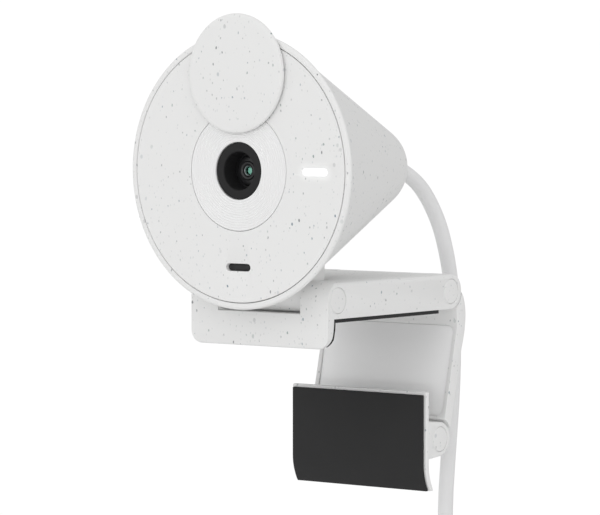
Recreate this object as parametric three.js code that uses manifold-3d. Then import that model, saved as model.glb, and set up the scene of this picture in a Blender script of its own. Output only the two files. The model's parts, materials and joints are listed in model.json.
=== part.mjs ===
// A round webcam on a fold-out monitor clip. Millimetres, +Z up, the face looks along -Y.
// The origin is on the rubber under the clip's top plate, where a monitor's top edge bears.
import * as THREE from 'three';
import { mergeVertices } from 'three/addons/utils/BufferGeometryUtils.js';
import Module from 'manifold-3d';

const wasm = await Module();
wasm.setup();

// ---------------------------------------------------------------- driving dimensions
const SEGMENTS = 48;           // round the large turned pieces
const CAP_SEGMENTS = 24;       // round the pin caps and their seats
const SMALL_SEGMENTS = 16;     // round pins, washers and screws
const gap = 0.3;              // between pieces that are cut to each other or that move past each other
const seat = 0.1;             // between flat faces that rest on each other in one body

// clip
const clipWidth = 32.6;
const plateThick = 6.8;
const plateRubber = 0.6;
const frontPinY = -15.6;
const rearPinY = 21.3;
const lipFrontY = -18.8;
const lipThick = 1.9;
const lipDrop = 5.6;          // how far the lip hangs below the plate's underside
const lipLean = 1.1;          // how far the lip's rear face leans forward at its tip
const lipCorner = 2.5;
const lipRubber = 0.5;
const linerInset = 0.1;       // from the clip's sides to the rubber's
const linerEnd = 0.7;         // from the rubber's rear end to the rear ears
const plateEdgeRound = 3.4;   // front top edge
const slotWidth = 19.6;
const slotFloor = 0.8;        // plate left under the slot
const slotReach = 6.6;        // how far the slot runs behind the front pin
const earWidth = 5.2;
const pinRadius = 1.1;
const pinFit = 0.15;          // clearance round a pin
const capRadius = 2.45;
const capThick = 1.0;
const washerThick = 0.5;

// rear arm and foot
const armReach = 28.6;        // from the rear pin down to the foot pin
const armLean = 3.65;         // how far the foot pin is in front of the rear pin
const armThick = 2.1;
const armCoverThick = 0.7;
const armCoverBorder = 0.9;
const armCoverTop = 6.5;      // from the rear pin down to the cover's recess
const armFace = 1.05;         // from the line of the pins back to the arm's front face, at its foot end
const armFaceTop = 3.0;       // and at its top end
const armTopDown = 6.6;       // from the rear pin down to where the flat front face starts
const armBarrel = 3.0;        // radius of the arm's barrel in the clip
const footBarrel = 2.75;      // radius of the arm's barrel in the foot
const armShoulder = 6.2;      // outer radius of the shoulder that wraps the ears
const footAhead = 3.65;       // from the foot pin to the rear face of the foot plate
const footPlateThick = 1.0;
const footPadThick = 0.6;
const footPadInset = 0.5;
const footUp = 8.9;           // from the foot pin to the top of the pad
const footRim = 0.6;          // how far the plate stands above the pad
const footDown = 9.9;         // from the foot pin to the bottom of the pad
const footCurl = 1.6;         // how far the foot's bottom edge curls back
const footEarRadius = 3.35;
const footEarWidth = 4.0;

// head
const coneClear = 1.57;       // between the cone and the top plate, over the end of the slot
const faceY = -25;            // front face of the face plate
const rimRadius = 25.95;
const rimBead = 1.0;
const seamInset = 1.35;       // from the rim in to the seam round the face plate
const coneHalfAngle = 22.5;   // degrees
const coneInset = 0.19;       // from the rim in to the cone's line, in the plane of the face
const domeRadius = 8.7;
const wall = 1.7;
const facePlateThick = 1.6;
const ringRadius = 11.2;
const ringThick = 1.3;
const ringSeat = 1.2;         // width of the ledge in the face plate behind the ring
const bezelRadius = 5.3;
const bezelFront = 0.2;       // behind the face
const bezelDepth = 3.4;
const bezelMouth = 3.63;
const bezelThroat = 3.3;
const barrelRadius = 6.4;
const barrelLength = 9;
const noseRadius = 2.9;       // the barrel's domed front
const noseDepth = 3.3;
const crownRadius = 1.6;
const crownDepth = 2.75;
const pupilRadius = 0.95;
const glassDepth = 3.1;
const lightInset = 6.7;       // from the seam in to the middle of the light
const lightWidth = 6.0;
const lightHeight = 1.7;
const micInset = 6.6;         // from the seam up to the microphone opening
const micWidth = 5.8;
const micHeight = 1.45;
const micRecess = 0.75;
const sensorBoard = 21;
const boardThick = 1.0;
const boardClear = 1.99;      // between the main board and the housing's wall
const mainBoardY = 22;

// shutter
const shutterRadius = 11.15;
const shutterThick = 0.75;
const shutterOffset = 0.3;    // between the shutter and the face
const pivotInset = 2.125;     // from the ring's edge in to the shutter's pivot
const shutterRound = 0.35;
const pivotRadius = 1.0;
const pivotWasher = 1.9;

// neck
const neckWidth = 18.8;
const neckLength = 4.8;       // behind the front pin

// cord
const cordRadius = 1.55;
const cordSides = 8;
const reliefRadius = 2.5;
const reliefLength = 3.4;     // how far the strain relief stands out of the dome
const reliefDrop = 0.7;       // its axis below the lens axis
const coilMiddle = 18;        // radius at the middle of the turns
const coilSection = 6.4;      // half the thickness of the bundle of turns
const coilBehind = 3.1;       // its middle plane behind the end of the drop
const coilLayer = 4.8;        // from its middle plane to its outermost layer of turns
const tieThick = 1.1;
const tieWidth = 5;
const tieTurn = 46;           // degrees from the top of the coil
const plugLength = 21;
const plugWidth = 9.6;
const plugThick = 5.4;
const shellLength = 6.6;
const shellWidth = 8.3;
const shellThick = 2.5;
const shellWall = 0.35;
const leadStart = 42.8;       // below the origin, where the cord turns in to the coil
const leadRadius = 12;
const leadSwing = 38;         // degrees
const leadLean = 0.12;        // how far the lead-in goes forward for each millimetre along it
const tailStart = 17;         // below the centre of the coil
const tailInset = 1.8;        // from the outermost turn to the turn that the tail leaves
const tailLength = 9;
const plugRelief = 7;

// ---------------------------------------------------------------- derived places
const plateBottom = plateRubber + seat;
const plateTop = plateBottom + plateThick;
const pinZ = (plateBottom + plateTop) / 2;
const halfClip = clipWidth / 2;
const earRadius = plateThick / 2;
const earInner = halfClip - earWidth;
const lipBottom = plateBottom - lipDrop;
const lipRearY = lipFrontY + lipThick;
const footPinY = rearPinY - armLean;
const footPinZ = pinZ - armReach;
const seamRadius = rimRadius - seamInset;
const coneApexRadius = rimRadius - coneInset;
const coneSlope = Math.tan(THREE.MathUtils.degToRad(coneHalfAngle));
const coneRadiusAt = (y) => coneApexRadius - coneSlope * y;
const acrossCone = 1 / Math.cos(THREE.MathUtils.degToRad(coneHalfAngle)); // a wall's width across the axis
const domeY = (coneApexRadius - domeRadius * acrossCone) / coneSlope;
const headEnd = domeY + domeRadius;
const lightX = seamRadius - lightInset;
const micZ = micInset - seamRadius;
const mainBoardRadius = coneRadiusAt(mainBoardY + boardThick) - wall * acrossCone - boardClear;
const slotEndY = frontPinY + slotReach;
const lensHeight = plateTop + coneRadiusAt(slotEndY - faceY) + coneClear;
const shutterFrontY = -shutterOffset - shutterThick;
const pivotZ = ringRadius - pivotInset;
const shutterRise = 2 * pivotZ;                // half a turn about the pivot covers the lens
const capSink = capThick + 0.15;

// ---------------------------------------------------------------- materials
const finish = (color, roughness, metalness = 0) =>
  new THREE.MeshStandardMaterial({ color, roughness, metalness });
const whitePlastic = () => finish(0xe7e7e5, 0.6);
const smoothPlastic = () => finish(0xe2e2e1, 0.55);
const blackPlastic = () => finish(0x2d2d2d, 0.6);
const rubber = () => finish(0x323232, 0.85);
const steel = () => finish(0xb4b6b8, 0.35, 1);
const boardGreen = () => finish(0x1f4a34, 0.55);
const cordGrey = () => finish(0xd4d4d4, 0.65);

// ---------------------------------------------------------------- helpers
// Turns a shape drawn in (y, z) and extruded from x = 0 into place between two x values.
const acrossX = new THREE.Matrix4().set(0, 0, 1, 0, 1, 0, 0, 0, 0, 1, 0, 0, 0, 0, 0, 1);
// Turns a shape drawn in (x, z) and extruded from 0 into place, growing towards -Y.
const alongY = new THREE.Matrix4().set(1, 0, 0, 0, 0, 0, -1, 0, 0, 1, 0, 0, 0, 0, 0, 1);

function extrudeX(shape, fromX, toX) {
  const settings = { depth: toX - fromX, bevelEnabled: false, curveSegments: 6 };
  return new THREE.ExtrudeGeometry(shape, settings).applyMatrix4(acrossX).translate(fromX, 0, 0);
}

function extrudeY(shape, fromY, toY, curveSegments = 12) {
  const settings = { depth: toY - fromY, bevelEnabled: false, curveSegments };
  return new THREE.ExtrudeGeometry(shape, settings).applyMatrix4(alongY).translate(0, toY, 0);
}

// A turned piece on the Y axis. Its outline of [radius, y] points runs anticlockwise, radius to the right.
function lathe(points, segments = SEGMENTS) {
  return new THREE.LatheGeometry(points.map(([radius, y]) => new THREE.Vector2(radius, y)), segments);
}

function rodX(radius, fromX, toX, y, z, segments = SMALL_SEGMENTS) {
  const geometry = new THREE.CylinderGeometry(radius, radius, toX - fromX, segments);
  return geometry.rotateZ(Math.PI / 2).translate((fromX + toX) / 2, y, z);
}

function rodY(radius, fromY, toY, x, z, segments = SMALL_SEGMENTS) {
  return new THREE.CylinderGeometry(radius, radius, toY - fromY, segments).translate(x, (fromY + toY) / 2, z);
}

function block(fromX, toX, fromY, toY, fromZ, toZ) {
  const geometry = new THREE.BoxGeometry(toX - fromX, toY - fromY, toZ - fromZ);
  return geometry.translate((fromX + toX) / 2, (fromY + toY) / 2, (fromZ + toZ) / 2);
}

function solid(geometry) {
  const plain = geometry.clone();
  plain.deleteAttribute('normal');
  plain.deleteAttribute('uv');
  const merged = mergeVertices(plain, 1e-4);
  const vertProperties = new Float32Array(merged.attributes.position.array);
  const corners = Array.from(merged.index.array);
  const kept = [];
  for (let i = 0; i < corners.length; i += 3) {
    const [a, b, c] = corners.slice(i, i + 3);
    if (a !== b && b !== c && c !== a) kept.push(a, b, c);
  }
  const triVerts = new Uint32Array(kept);
  return new wasm.Manifold(new wasm.Mesh({ numProp: 3, vertProperties, triVerts }));
}

function geometryOf(body) {
  const mesh = body.getMesh();
  const geometry = new THREE.BufferGeometry();
  geometry.setAttribute('position', new THREE.BufferAttribute(mesh.vertProperties, 3));
  geometry.setIndex(new THREE.BufferAttribute(mesh.triVerts, 1));
  geometry.computeVertexNormals();
  return geometry;
}

const cut = (body, ...tools) => tools.reduce((rest, tool) => rest.subtract(solid(tool)), body);
const join = (first, ...others) => others.reduce((whole, piece) => whole.add(solid(piece)), solid(first));

function pill(width, height) {
  const radius = height / 2;
  const reach = width / 2 - radius;
  const shape = new THREE.Shape();
  shape.moveTo(-reach, -radius);
  shape.lineTo(reach, -radius);
  shape.absarc(reach, 0, radius, -Math.PI / 2, Math.PI / 2, false);
  shape.lineTo(-reach, radius);
  shape.absarc(-reach, 0, radius, Math.PI / 2, Math.PI * 1.5, false);
  return shape;
}

function disc(radius) {
  const shape = new THREE.Shape();
  shape.absarc(0, 0, radius, 0, Math.PI * 2, false);
  return shape;
}

function roundedBox(width, height, radius) {
  const x = width / 2 - radius;
  const z = height / 2 - radius;
  const shape = new THREE.Shape();
  shape.absarc(x, -z, radius, -Math.PI / 2, 0, false);
  shape.absarc(x, z, radius, 0, Math.PI / 2, false);
  shape.absarc(-x, z, radius, Math.PI / 2, Math.PI, false);
  shape.absarc(-x, -z, radius, Math.PI, Math.PI * 1.5, false);
  shape.closePath();
  return shape;
}

const webcam = new THREE.Group();
const head = new THREE.Group();
head.position.set(0, faceY, lensHeight);
webcam.add(head);

function add(parent, name, shape, material) {
  const geometry = shape instanceof THREE.BufferGeometry ? shape : geometryOf(shape);
  const mesh = new THREE.Mesh(geometry, material);
  mesh.name = name;
  parent.add(mesh);
}

// ---------------------------------------------------------------- clip
const tipRound = (lipThick - lipLean) / 2;

function clipProfile() {
  const shape = new THREE.Shape();
  shape.moveTo(lipFrontY, lipBottom + tipRound);
  shape.lineTo(lipFrontY, plateTop - plateEdgeRound);
  const [roundY, roundZ] = [lipFrontY + plateEdgeRound, plateTop - plateEdgeRound];
  shape.absarc(roundY, roundZ, plateEdgeRound, Math.PI, Math.PI / 2, true);
  shape.lineTo(rearPinY, plateTop);
  shape.absarc(rearPinY, pinZ, earRadius, Math.PI / 2, -Math.PI / 2, true);
  shape.lineTo(lipRearY, plateBottom);
  shape.quadraticCurveTo(lipRearY, (plateBottom + lipBottom) / 2, lipRearY - lipLean, lipBottom + tipRound);
  shape.absarc(lipFrontY + tipRound, lipBottom + tipRound, tipRound, 0, -Math.PI, true);
  return shape;
}

function clipFrontOutline() {
  const shape = new THREE.Shape();
  const topRound = 0.8;
  shape.moveTo(-halfClip + lipCorner, lipBottom);
  shape.lineTo(halfClip - lipCorner, lipBottom);
  shape.absarc(halfClip - lipCorner, lipBottom + lipCorner, lipCorner, -Math.PI / 2, 0, false);
  shape.lineTo(halfClip, plateTop - topRound);
  shape.absarc(halfClip - topRound, plateTop - topRound, topRound, 0, Math.PI / 2, false);
  shape.lineTo(-halfClip + topRound, plateTop);
  shape.absarc(-halfClip + topRound, plateTop - topRound, topRound, Math.PI / 2, Math.PI, false);
  shape.lineTo(-halfClip, lipBottom + lipCorner);
  shape.absarc(-halfClip + lipCorner, lipBottom + lipCorner, lipCorner, Math.PI, Math.PI * 1.5, false);
  return shape;
}

const slotBottom = plateBottom + slotFloor;
const neckBarrel = pinZ - slotBottom - gap;
const washerRadius = neckBarrel - seat;

function makeClip() {
  const outline = solid(extrudeY(clipFrontOutline(), lipFrontY - 1, rearPinY + earRadius + 1, 6));
  let body = solid(extrudeX(clipProfile(), -halfClip, halfClip)).intersect(outline);
  const capSeat = capRadius + pinFit;
  body = cut(
    body,
    block(-slotWidth / 2, slotWidth / 2, lipFrontY - 1, slotEndY, slotBottom, plateTop + 1),
    block(-earInner, earInner, rearPinY - armBarrel - 3 * gap, rearPinY + earRadius + 1, -1, plateTop + 1),
    rodX(pinRadius + pinFit, -halfClip - 1, halfClip + 1, frontPinY, pinZ),
    rodX(pinRadius + pinFit, -halfClip - 1, halfClip + 1, rearPinY, pinZ),
  );
  for (const pinY of [frontPinY, rearPinY]) {
    body = cut(
      body,
      rodX(capSeat, halfClip - capSink, halfClip + 1, pinY, pinZ, CAP_SEGMENTS),
      rodX(capSeat, -halfClip - 1, -halfClip + capSink, pinY, pinZ, CAP_SEGMENTS),
    );
  }
  add(webcam, 'clip_body', body, whitePlastic());
}

function makeLiner() {
  const shape = new THREE.Shape();
  const rearY = rearPinY - earRadius - linerEnd;
  const tipZ = lipBottom + tipRound;
  const behindLip = lipRearY + seat;
  shape.moveTo(behindLip, plateRubber);
  shape.quadraticCurveTo(behindLip, (plateBottom + lipBottom) / 2, behindLip - lipLean, tipZ);
  shape.lineTo(behindLip - lipLean + lipRubber, tipZ);
  shape.quadraticCurveTo(behindLip + lipRubber, (plateBottom + lipBottom) / 2, behindLip + lipRubber, 0);
  shape.lineTo(rearY, 0);
  shape.lineTo(rearY, plateRubber);
  const outline = solid(extrudeY(clipFrontOutline(), lipFrontY - 1, rearPinY, 6));
  const sheet = solid(extrudeX(shape, -halfClip + linerInset, halfClip - linerInset));
  add(webcam, 'clip_rubber_liner', sheet.intersect(outline), rubber());
}

function makePin(parent, name, y, z, halfSpan, capName) {
  const pinEnd = halfSpan - capSink - seat;
  add(parent, name, rodX(pinRadius, -pinEnd, pinEnd, y, z), steel());
  const inner = halfSpan - capThick;
  add(parent, `${capName}_right`, rodX(capRadius, inner, halfSpan, y, z, CAP_SEGMENTS), whitePlastic());
  add(parent, `${capName}_left`, rodX(capRadius, -halfSpan, -inner, y, z, CAP_SEGMENTS), whitePlastic());
}

function washer(parent, name, centreX, y, z) {
  const half = washerThick / 2;
  const body = solid(rodX(washerRadius, centreX - half, centreX + half, y, z));
  add(parent, name, cut(body, rodX(pinRadius + pinFit, centreX - 1, centreX + 1, y, z)), steel());
}

makeClip();
makeLiner();
makePin(webcam, 'front_hinge_pin', frontPinY, pinZ, halfClip, 'front_pin_cap');
makePin(webcam, 'rear_hinge_pin', rearPinY, pinZ, halfClip, 'rear_pin_cap');

// ---------------------------------------------------------------- neck
const headPinY = frontPinY - faceY;
const headPinZ = pinZ - lensHeight;
const neckSide = neckWidth / 2 - washerThick - seat;

// The space that the housing takes, grown by a clearance, for cutting the neck to it.
function housingOutside(grow) {
  const rimBack = rimBead + 1;
  const coneFront = rimBead + 2.2;
  return lathe([
    [0, -2],
    [rimRadius + grow, -2],
    [rimRadius + grow, rimBack],
    [coneRadiusAt(coneFront) + grow * acrossCone, coneFront],
    [coneRadiusAt(domeY) + grow * acrossCone, domeY],
    [0, domeY],
  ], 2 * SEGMENTS);
}

function makeNeck() {
  const shape = new THREE.Shape();
  const topZ = -(coneRadiusAt(headPinY + neckLength)) + 3;
  shape.moveTo(headPinY - neckBarrel, headPinZ);
  shape.absarc(headPinY, headPinZ, neckBarrel, Math.PI, Math.PI * 1.62, false);
  shape.lineTo(headPinY + neckLength, -coneRadiusAt(headPinY + neckLength) - 0.6);
  shape.lineTo(headPinY + neckLength, topZ);
  shape.lineTo(headPinY - neckBarrel, topZ);
  let body = solid(extrudeX(shape, -neckSide, neckSide));
  body = cut(body, housingOutside(gap), rodX(pinRadius + pinFit, -halfClip, halfClip, headPinY, headPinZ));
  add(head, 'neck', body, whitePlastic());
  for (const [name, side] of [['friction_washer_right', 1], ['friction_washer_left', -1]]) {
    washer(head, name, side * (neckSide + seat + washerThick / 2), headPinY, headPinZ);
  }
}
makeNeck();

// ---------------------------------------------------------------- housing
function arcPoints(centreRadius, centreY, radius, fromDegrees, toDegrees, steps) {
  const points = [];
  for (let i = 0; i <= steps; i += 1) {
    const angle = THREE.MathUtils.degToRad(fromDegrees + (toDegrees - fromDegrees) * i / steps);
    points.push([centreRadius + radius * Math.sin(angle), centreY + radius * Math.cos(angle)]);
  }
  return points;
}

const plateBack = facePlateThick + gap;

function makeHousing() {
  const coneStartY = rimBead + 1.3;
  const shoulderY = plateBack + 1.4;
  const shoulderRadius = coneRadiusAt(shoulderY) - wall * acrossCone;
  const grooveRadius = seamRadius + 0.15;
  const shell = lathe([
    ...arcPoints(0, domeY, domeRadius - wall, 0, 90 - coneHalfAngle, 3),
    [shoulderRadius, shoulderY],
    [shoulderRadius, plateBack],
    [grooveRadius, plateBack],
    [grooveRadius, 0.25],
    ...arcPoints(rimRadius - rimBead, rimBead, rimBead, 180, 60, 5),
    [coneRadiusAt(coneStartY), coneStartY],
    ...arcPoints(0, domeY, domeRadius, 90 - coneHalfAngle, 0, 6),
  ]);
  const cordHole = rodY(reliefRadius + gap / 2, domeY, headEnd + 1, 0, -reliefDrop);
  add(head, 'rear_housing', cut(solid(shell), cordHole), whitePlastic());
}

function makeFace() {
  const outer = disc(seamRadius);
  const lensHole = new THREE.Path();
  lensHole.absarc(0, 0, ringRadius + 0.1, 0, Math.PI * 2, true);
  outer.holes.push(lensHole);
  const ledge = disc(ringRadius + 0.6);
  const ledgeHole = new THREE.Path();
  ledgeHole.absarc(0, 0, ringRadius - ringSeat, 0, Math.PI * 2, true);
  ledge.holes.push(ledgeHole);
  const ledgeFront = ringThick + seat;
  let body = join(extrudeY(outer, 0, facePlateThick, 24), extrudeY(ledge, ledgeFront, ledgeFront + 0.9, 16));
  body = cut(
    body,
    extrudeY(pill(micWidth, micHeight), -1, facePlateThick + 1, 5).translate(0, 0, micZ),
    extrudeY(pill(lightWidth + 0.2, lightHeight + 0.2), -1, facePlateThick + 1, 5).translate(lightX, 0, 0),
    rodY(pivotWasher + gap, ringThick, ringThick + 2, 0, pivotZ),
  );
  add(head, 'face_plate', body, whitePlastic());
}

function makeLens() {
  const ring = disc(ringRadius);
  const hole = new THREE.Path();
  hole.absarc(0, 0, bezelRadius + 0.1, 0, Math.PI * 2, true);
  const pivotHole = new THREE.Path();
  pivotHole.absarc(0, pivotZ, pivotRadius + pinFit, 0, Math.PI * 2, true);
  ring.holes.push(hole, pivotHole);
  add(head, 'lens_surround_ring', extrudeY(ring, 0, ringThick, 20), smoothPlastic());

  const bezelRound = 0.2;
  add(head, 'lens_bezel', lathe([
    [bezelMouth, bezelFront],
    [bezelRadius - bezelRound, bezelFront],
    [bezelRadius, bezelFront + bezelRound],
    [bezelRadius, bezelDepth],
    [bezelThroat, bezelDepth],
    [bezelMouth, bezelFront],
  ], 28), blackPlastic());

  const barrelFront = bezelDepth + seat;
  const bore = pupilRadius + seat;
  const barrelRound = 0.6;
  add(head, 'lens_barrel', lathe([
    [bore, crownDepth + 0.15],
    [crownRadius, crownDepth],
    [noseRadius, noseDepth],
    [noseRadius, barrelFront],
    [barrelRadius - barrelRound, barrelFront],
    [barrelRadius, barrelFront + barrelRound],
    [barrelRadius, barrelFront + barrelLength],
    [bore, barrelFront + barrelLength],
    [bore, crownDepth + 0.15],
  ], 24), blackPlastic());
  const glassBack = barrelFront + 1.5;
  add(head, 'lens_glass', lathe([
    [0, glassDepth],
    [pupilRadius * 0.6, glassDepth + 0.1],
    [pupilRadius, glassDepth + 0.3],
    [pupilRadius, glassBack],
    [0, glassBack],
  ], 16), finish(0x0c1512, 0.08));

  const boardY = barrelFront + barrelLength + seat;
  const half = sensorBoard / 2;
  const sensorThick = 0.9;
  const chip = block(-3, 3, boardY, boardY + sensorThick, -3, 3);
  add(head, 'image_sensor', chip, finish(0x1b1d22, 0.3));
  const back = boardY + sensorThick + seat;
  const high = half / 1.5;
  add(head, 'sensor_board', block(-half, half, back, back + boardThick, -high, high), boardGreen());
}

function makeElectronics() {
  const board = disc(mainBoardRadius);
  for (const side of [-1, 1]) {
    const hole = new THREE.Path();
    hole.absarc(side * (mainBoardRadius - 2.4), 0, 1.15, 0, Math.PI * 2, true);
    board.holes.push(hole);
  }
  add(head, 'main_board', extrudeY(board, mainBoardY, mainBoardY + boardThick, 14), boardGreen());
  const canY = mainBoardY - seat;
  add(head, 'shield_can', block(-6, 6, canY - 1.6, canY, -5.5, 5.5), steel());
  const backY = mainBoardY + boardThick + seat;
  add(head, 'cord_connector', block(-4, 4, backY, backY + 4.2, -3, 1.6), finish(0xeae6da, 0.5));
  for (const [name, side] of [['board_screw_right', 1], ['board_screw_left', -1]]) {
    const x = side * (mainBoardRadius - 2.4);
    const screw = join(
      rodY(1.9, backY, backY + 1.1, x, 0, 12),
      rodY(0.95, mainBoardY - 3, backY + 0.2, x, 0, 10),
    );
    add(head, name, screw, steel());
  }

  const meshShape = pill(micWidth - 0.2, micHeight - 0.2);
  const micMesh = extrudeY(meshShape, micRecess, micRecess + 0.35, 5).translate(0, 0, micZ);
  add(head, 'microphone_mesh', micMesh, finish(0x1a1a1a, 0.7, 0.4));
  const micFront = plateBack + 0.2;
  add(head, 'microphone_capsule', block(-2, 2, micFront, micFront + 1.3, micZ - 1.5, micZ + 1.5), steel());

  const pipe = extrudeY(pill(lightWidth, lightHeight), 0.05, facePlateThick + 0.8, 5).translate(lightX, 0, 0);
  add(head, 'status_light_pipe', pipe, finish(0xffffff, 0.25));
  const ledFront = facePlateThick + 1.1;
  const led = block(lightX - 1.6, lightX + 1.6, ledFront, ledFront + 0.8, -0.7, 0.7);
  add(head, 'status_led', led, finish(0xf3efcf, 0.4));
}

function makeRelief() {
  const flangeFront = headEnd - wall - 3.2;
  const flangeBack = flangeFront + 1.0;
  const bore = cordRadius + 0.15;
  const profile = [
    [bore, flangeFront],
    [reliefRadius + 1.0, flangeFront],
    [reliefRadius + 1.0, flangeBack],
    [reliefRadius, flangeBack],
    [reliefRadius, headEnd + 0.6],
    [reliefRadius - 0.3, headEnd + 1.0],
    [cordRadius + 0.4, headEnd + reliefLength],
    [bore, headEnd + reliefLength],
    [bore, flangeFront],
  ];
  add(head, 'strain_relief', lathe(profile, 20).translate(0, 0, -reliefDrop), cordGrey());
}

makeHousing();
makeFace();
makeLens();
makeElectronics();
makeRelief();

// ---------------------------------------------------------------- shutter
function makeShutter() {
  const edge = shutterRadius - shutterRound;
  const back = -shutterOffset;
  const shell = lathe([
    [0, back],
    [edge + shutterRound * 0.6, back],
    [shutterRadius, back - shutterRound * 0.5],
    ...arcPoints(edge, shutterFrontY + shutterRound, shutterRound, 90, 180, 4),
    [0, shutterFrontY],
  ].reverse(), 40).translate(0, 0, shutterRise);
  const pinTop = -shutterOffset - shutterThick * 0.55;
  const socket = rodY(pivotRadius + pinFit, pinTop - seat, 1, 0, pivotZ);
  add(head, 'privacy_shutter', cut(solid(shell), socket), whitePlastic());
  const washerBack = ringThick + seat;
  const pin = rodY(pivotRadius, pinTop, washerBack + 1.2, 0, pivotZ);
  add(head, 'shutter_pivot_pin', pin, steel());
  const clipRing = cut(
    solid(rodY(pivotWasher, washerBack, washerBack + 0.5, 0, pivotZ)),
    rodY(pivotRadius + pinFit, 0, washerBack + 1, 0, pivotZ),
  );
  add(head, 'shutter_retaining_washer', clipRing, steel());
}
makeShutter();

// ---------------------------------------------------------------- rear arm
const atAngle = (y, z, radius, degrees) => {
  const angle = THREE.MathUtils.degToRad(degrees);
  return [y + radius * Math.cos(angle), z + radius * Math.sin(angle)];
};
const armAngle = Math.atan2(-armReach, -armLean);          // direction from the rear pin to the foot pin
const armForward = [Math.sin(armAngle), -Math.cos(armAngle)]; // across the arm, towards the monitor
const armDown = [Math.cos(armAngle), Math.sin(armAngle)];

// A point on the arm: its distance down the arm from the rear pin and forward of the line of the pins.
function armPoint(down, forward) {
  return [
    rearPinY + armDown[0] * down + armForward[0] * forward,
    pinZ + armDown[1] * down + armForward[1] * forward,
  ];
}

const armLength = Math.hypot(armReach, armLean);
const footClear = footEarRadius + 2 * gap;

function armOutline() {
  const shape = new THREE.Shape();
  const ring = earRadius + gap;
  const shoulderTop = -5;
  const shoulderFront = -56;
  const endDown = armLength - Math.sqrt(footClear * footClear - armFace * armFace);
  const aboveFoot = 2.3;
  const backDown = armLength - aboveFoot;
  const backForward = -Math.sqrt(footClear * footClear - aboveFoot * aboveFoot);
  shape.moveTo(...atAngle(rearPinY, pinZ, ring, shoulderTop));
  const toRadians = THREE.MathUtils.degToRad;
  shape.absarc(rearPinY, pinZ, ring, toRadians(shoulderTop), toRadians(shoulderFront), true);
  shape.lineTo(...armPoint(armTopDown, -armFaceTop));
  shape.lineTo(...armPoint(endDown, -armFace));
  const [startY, startZ] = armPoint(endDown, -armFace);
  const [endY, endZ] = armPoint(backDown, backForward);
  const from = Math.atan2(startZ - footPinZ, startY - footPinY);
  const to = Math.atan2(endZ - footPinZ, endY - footPinY);
  shape.absarc(footPinY, footPinZ, footClear, from, to, true);
  shape.lineTo(...armPoint(armTopDown + 4, -armFaceTop - armThick));
  const [topY, topZ] = atAngle(rearPinY, pinZ, ring, shoulderTop);
  const bulge = armPoint(armShoulder - 1.5, -armShoulder - 0.3);
  const crown = [topY + 1.3, topZ - 1.6];
  shape.bezierCurveTo(...bulge, ...crown, topY, topZ);
  return shape;
}

function barrelLink(y, z, radius, towards) {
  const shape = new THREE.Shape();
  const angle = Math.atan2(towards[1] - z, towards[0] - y);
  const across = [-Math.sin(angle) * radius, Math.cos(angle) * radius];
  shape.moveTo(y + across[0], z + across[1]);
  shape.absarc(y, z, radius, angle + Math.PI / 2, angle + Math.PI * 1.5, false);
  shape.lineTo(towards[0] - across[0] * 0.8, towards[1] - across[1] * 0.8);
  shape.lineTo(towards[0] + across[0] * 0.8, towards[1] + across[1] * 0.8);
  shape.closePath();
  return shape;
}

function makeArm() {
  const topHalf = earInner - gap;
  const footHalf = halfClip - footEarWidth - gap;
  const topRoot = atAngle(rearPinY, pinZ, earRadius + gap + 1.6, -30);
  const footRoot = armPoint(armLength - footClear - 1.2, -armFace - 0.9);
  let body = join(
    extrudeX(armOutline(), -halfClip, halfClip),
    extrudeX(barrelLink(rearPinY, pinZ, armBarrel, topRoot), -topHalf, topHalf),
    extrudeX(barrelLink(footPinY, footPinZ, footBarrel, footRoot), -footHalf, footHalf),
  );
  const recess = new THREE.Shape();
  const top = armCoverTop;
  const bottom = armLength - footClear - 0.6;
  const faceSlope = (armFaceTop - armFace) / (armLength - armTopDown);
  const faceAt = (down) => -armFaceTop + faceSlope * (down - armTopDown);
  const corners = (inset, front, back) => [
    armPoint(top + inset, faceAt(top) + front),
    armPoint(bottom - inset, faceAt(bottom) + front),
    armPoint(bottom - inset, faceAt(bottom) - back),
    armPoint(top + inset, faceAt(top) - back),
  ];
  recess.setFromPoints(corners(0, 1, armCoverThick + seat).map(([y, z]) => new THREE.Vector2(y, z)));
  recess.closePath();
  const coverHalf = halfClip - armCoverBorder;
  body = cut(
    body,
    extrudeX(recess, -coverHalf, coverHalf),
    rodX(pinRadius + pinFit, -halfClip - 1, halfClip + 1, rearPinY, pinZ),
    rodX(pinRadius + pinFit, -halfClip - 1, halfClip + 1, footPinY, footPinZ),
  );
  add(webcam, 'rear_arm', body, whitePlastic());
  const cover = new THREE.Shape();
  cover.setFromPoints(corners(gap, 0, armCoverThick).map(([y, z]) => new THREE.Vector2(y, z)));
  cover.closePath();
  add(webcam, 'arm_inner_cover', extrudeX(cover, -coverHalf + gap, coverHalf - gap), smoothPlastic());
}
makeArm();

// ---------------------------------------------------------------- foot
const footRearY = footPinY - footAhead;
const footTopZ = footPinZ + footUp;
const footBottomZ = footPinZ - footDown;
const curlStartZ = footBottomZ + 5.2;

function footSheet(frontY, thick, topZ) {
  const shape = new THREE.Shape();
  const middle = (curlStartZ + footBottomZ) / 2;
  shape.moveTo(frontY, topZ);
  shape.lineTo(frontY, curlStartZ);
  shape.quadraticCurveTo(frontY, middle, frontY + footCurl, footBottomZ);
  shape.lineTo(frontY + footCurl + thick, footBottomZ);
  shape.quadraticCurveTo(frontY + thick, middle, frontY + thick, curlStartZ);
  shape.lineTo(frontY + thick, topZ);
  shape.closePath();
  return shape;
}

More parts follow.
